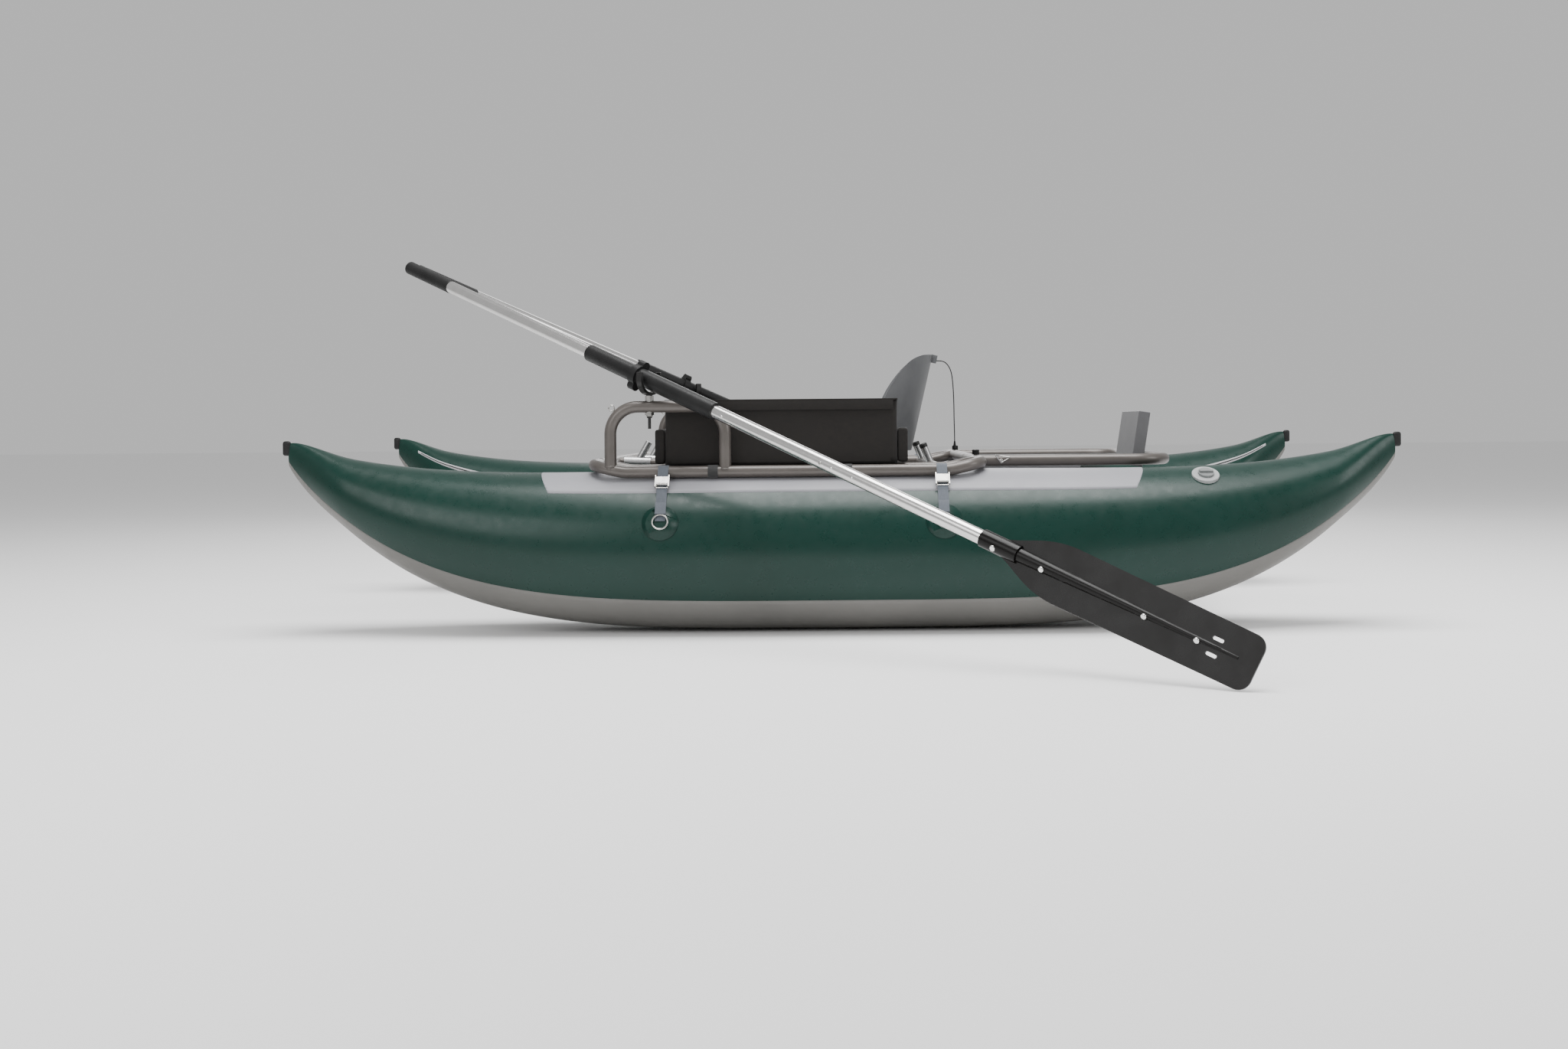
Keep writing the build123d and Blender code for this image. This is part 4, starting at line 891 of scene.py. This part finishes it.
def deck_outline(bm):
    """Flat panel with rounded corners and a notch for the motor board."""
    made = bmesh.ops.create_grid(bm, x_segments=1, y_segments=1, size=0.5)["verts"]
    bmesh.ops.scale(bm, vec=(deck_high.x - deck_low.x, deck_high.y - deck_low.y, 1), verts=made)
    middle = ((deck_low.x + deck_high.x) / 2, 0, (deck_low.z + deck_high.z) / 2)
    bmesh.ops.translate(bm, vec=middle, verts=made)
    bmesh.ops.bevel(
        bm, geom=list(bm.verts), offset=deck_corner, offset_type="OFFSET", segments=8, profile=0.5,
        affect="VERTICES", material=-1,
    )
    across, along = (0, 1, 0), (1, 0, 0)
    for place, normal in (((0, -slot_half, 0), across), ((0, slot_half, 0), across), ((slot_x, 0, 0), along)):
        bmesh.ops.bisect_plane(bm, geom=[*bm.verts, *bm.edges, *bm.faces], plane_co=place, plane_no=normal)
    middles = [(f, f.calc_center_median()) for f in bm.faces]
    notch = [f for f, middle in middles if middle.x > slot_x and abs(middle.y) < slot_half]
    bmesh.ops.delete(bm, geom=notch, context="FACES")
    bmesh.ops.dissolve_faces(bm, faces=list(bm.faces))


bm = bmesh.new()
deck_outline(bm)
deck_area = sum(f.calc_area() for f in bm.faces)
panel = keep_piece(bm, "deck_panel", 1, "hull", [mesh_cloth("open_mesh")], smooth=False)
thickness = panel.modifiers.new("thickness", "SOLIDIFY")
thickness.thickness = 0.0012
thickness.offset = 0
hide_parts("deck_mesh")
bm = bmesh.new()
deck_outline(bm)
bmesh.ops.inset_region(
    bm, faces=list(bm.faces), thickness=hem_width, depth=0, use_boundary=True, use_even_offset=True
)
inner = max(bm.faces, key=lambda f: f.calc_area())
bmesh.ops.delete(bm, geom=[inner], context="FACES")
hem = keep_piece(bm, "deck_hem", 1, "hull", [strap_black], smooth=False)
thickness = hem.modifiers.new("thickness", "SOLIDIFY")
thickness.thickness = 0.0024
thickness.offset = 0

# ---- Oars ------------------------------------------------------------------------------------
# Drawn aluminium shafts in two lengths, rubber grips and sleeves, and moulded blades that are
# riveted on. The port oar is worked out here; the starboard one mirrors it.
blade_black = moulded("blade_black", (0.004, 0.0036, 0.0034), (0.007, 0.0064, 0.006), 0.27, 0.06, 0.0, 0.16)
sleeve_black = black_rubber("sleeve_black", 0.006, 0.42)
dress(blade_black, "port_oar_blade", "starboard_oar_blade")
dress(sleeve_black, "port_oar_sleeve", "starboard_oar_sleeve")
lock_point = Vector((-0.462, rail_y, 0.608))
oar_along = Vector((cos(oar_pitch) * cos(oar_sweep), -cos(oar_pitch) * sin(oar_sweep), -sin(oar_pitch)))
oar_side = Vector((sin(oar_sweep), cos(oar_sweep), 0))
oar_up = oar_along.cross(oar_side).normalized() * -1
blade_roll = radians(19.4)
blade_across = oar_up * cos(blade_roll) + oar_side * sin(blade_roll)
blade_out = oar_along.cross(blade_across).normalized()
rivet_steel = bright_metal("rivet_steel", (0.8, 0.8, 0.79), 0.18, lines=(50, 50, 50))
shaft_radius = 0.015875
for side_name, side in sides:
    bm = bmesh.new()
    for along, out_radius in ((1.045, 0.0195), (1.163, 0.0149), (1.401, 0.0102), (1.516, 0.0077)):
        for face_side in (-1, 1):
            out = blade_out * face_side
            turned(
                bm, lock_point + oar_along * along + out * (out_radius - 0.0014), out,
                [(0, 0.0066), (0.0018, 0.0066), (0.0029, 0.0054), (0.0034, 0.003)], 24,
            )
    finish_bmesh(bm)
    keep_piece(bm, f"{side_name}_blade_rivets", side, f"{side_name}_oar", [rivet_steel])
    bm = bmesh.new()
    for along in (-0.19, 0.26, 0.60, 0.66):
        turned(
            bm, lock_point + oar_along * along - oar_side * (shaft_radius - 0.0005), -oar_side,
            [(0, 0.003), (0.0012, 0.003), (0.0019, 0.0022)], 16,
        )
    finish_bmesh(bm)
    keep_piece(bm, f"{side_name}_shaft_rivets", side, f"{side_name}_oar", [rivet_steel])

# ---- Welds, caps and rings on the frame ------------------------------------------------------
# Weld beads run round the feet of the oar stands. The backrest posts have black caps, and the
# deck tube has a triangular lashing ring on a bolt at each side.
deck_tube_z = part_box("deck_frame")[0].z + tube_radius
deck_tube_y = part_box("deck_frame")[1].y - tube_radius
post_foot = Vector((0.235, 0.215, rail_height))
post_run = Vector((-0.022, 0, 0.055))
post_top = post_foot + post_run
cap_black = moulded("cap_black", (0.006, 0.006, 0.006), (0.012, 0.012, 0.012), 0.45, 0.15)
for side_name, side in sides:
    bm = bmesh.new()
    for x, sink in ((-0.5565, 0.012), (-0.281, 0.0045)):
        for turn, growth in ((0.0, 1.0), (0.06, 1.015)):
            bead_centre = (x, rail_y, rail_height + sink + 0.001 + turn * 0.02)
            wire_ring(bm, bead_centre, (0, 0, 1), tube_radius * growth, 0.0017, 48, 8)
    finish_bmesh(bm)
    keep_piece(bm, f"{side_name}_stand_welds", side, "hull", [frame_grey])
    bm = bmesh.new()
    turned(
        bm, Vector((post_top.x, -post_top.y, post_top.z)) - post_run.normalized() * 0.008, post_run,
        [(0, 0.0106), (0.0085, 0.0108), (0.011, 0.0098), (0.012, 0.006)],
    )
    finish_bmesh(bm)
    keep_piece(bm, f"{side_name}_post_cap", side, "hull", [cap_black])
    bm = bmesh.new()
    ring_x = 0.398
    turned(
        bm, (ring_x, -deck_tube_y - tube_radius + 0.001, deck_tube_z), (0, -1, 0),
        [(0, 0.0052), (0.0035, 0.0052), (0.0042, 0.0044)], 6,
    )
    corners = [(0, -0.006), (0.022, 0.008), (-0.014, 0.013)]
    wire = 0.0016
    for (ax, az), (bx, bz) in zip(corners, corners[1:] + corners[:1]):
        start = Vector((ring_x + ax, -deck_tube_y - tube_radius - 0.0022, deck_tube_z + az))
        run = Vector((bx - ax, 0, bz - az))
        turned(bm, start, run, [(0, wire), (run.length, wire)], 10)
        corner = Matrix.Translation(start)
        bmesh.ops.create_uvsphere(bm, u_segments=12, v_segments=8, radius=wire, matrix=corner)
    finish_bmesh(bm)
    keep_piece(bm, f"{side_name}_lashing_ring", side, "hull", [steel])
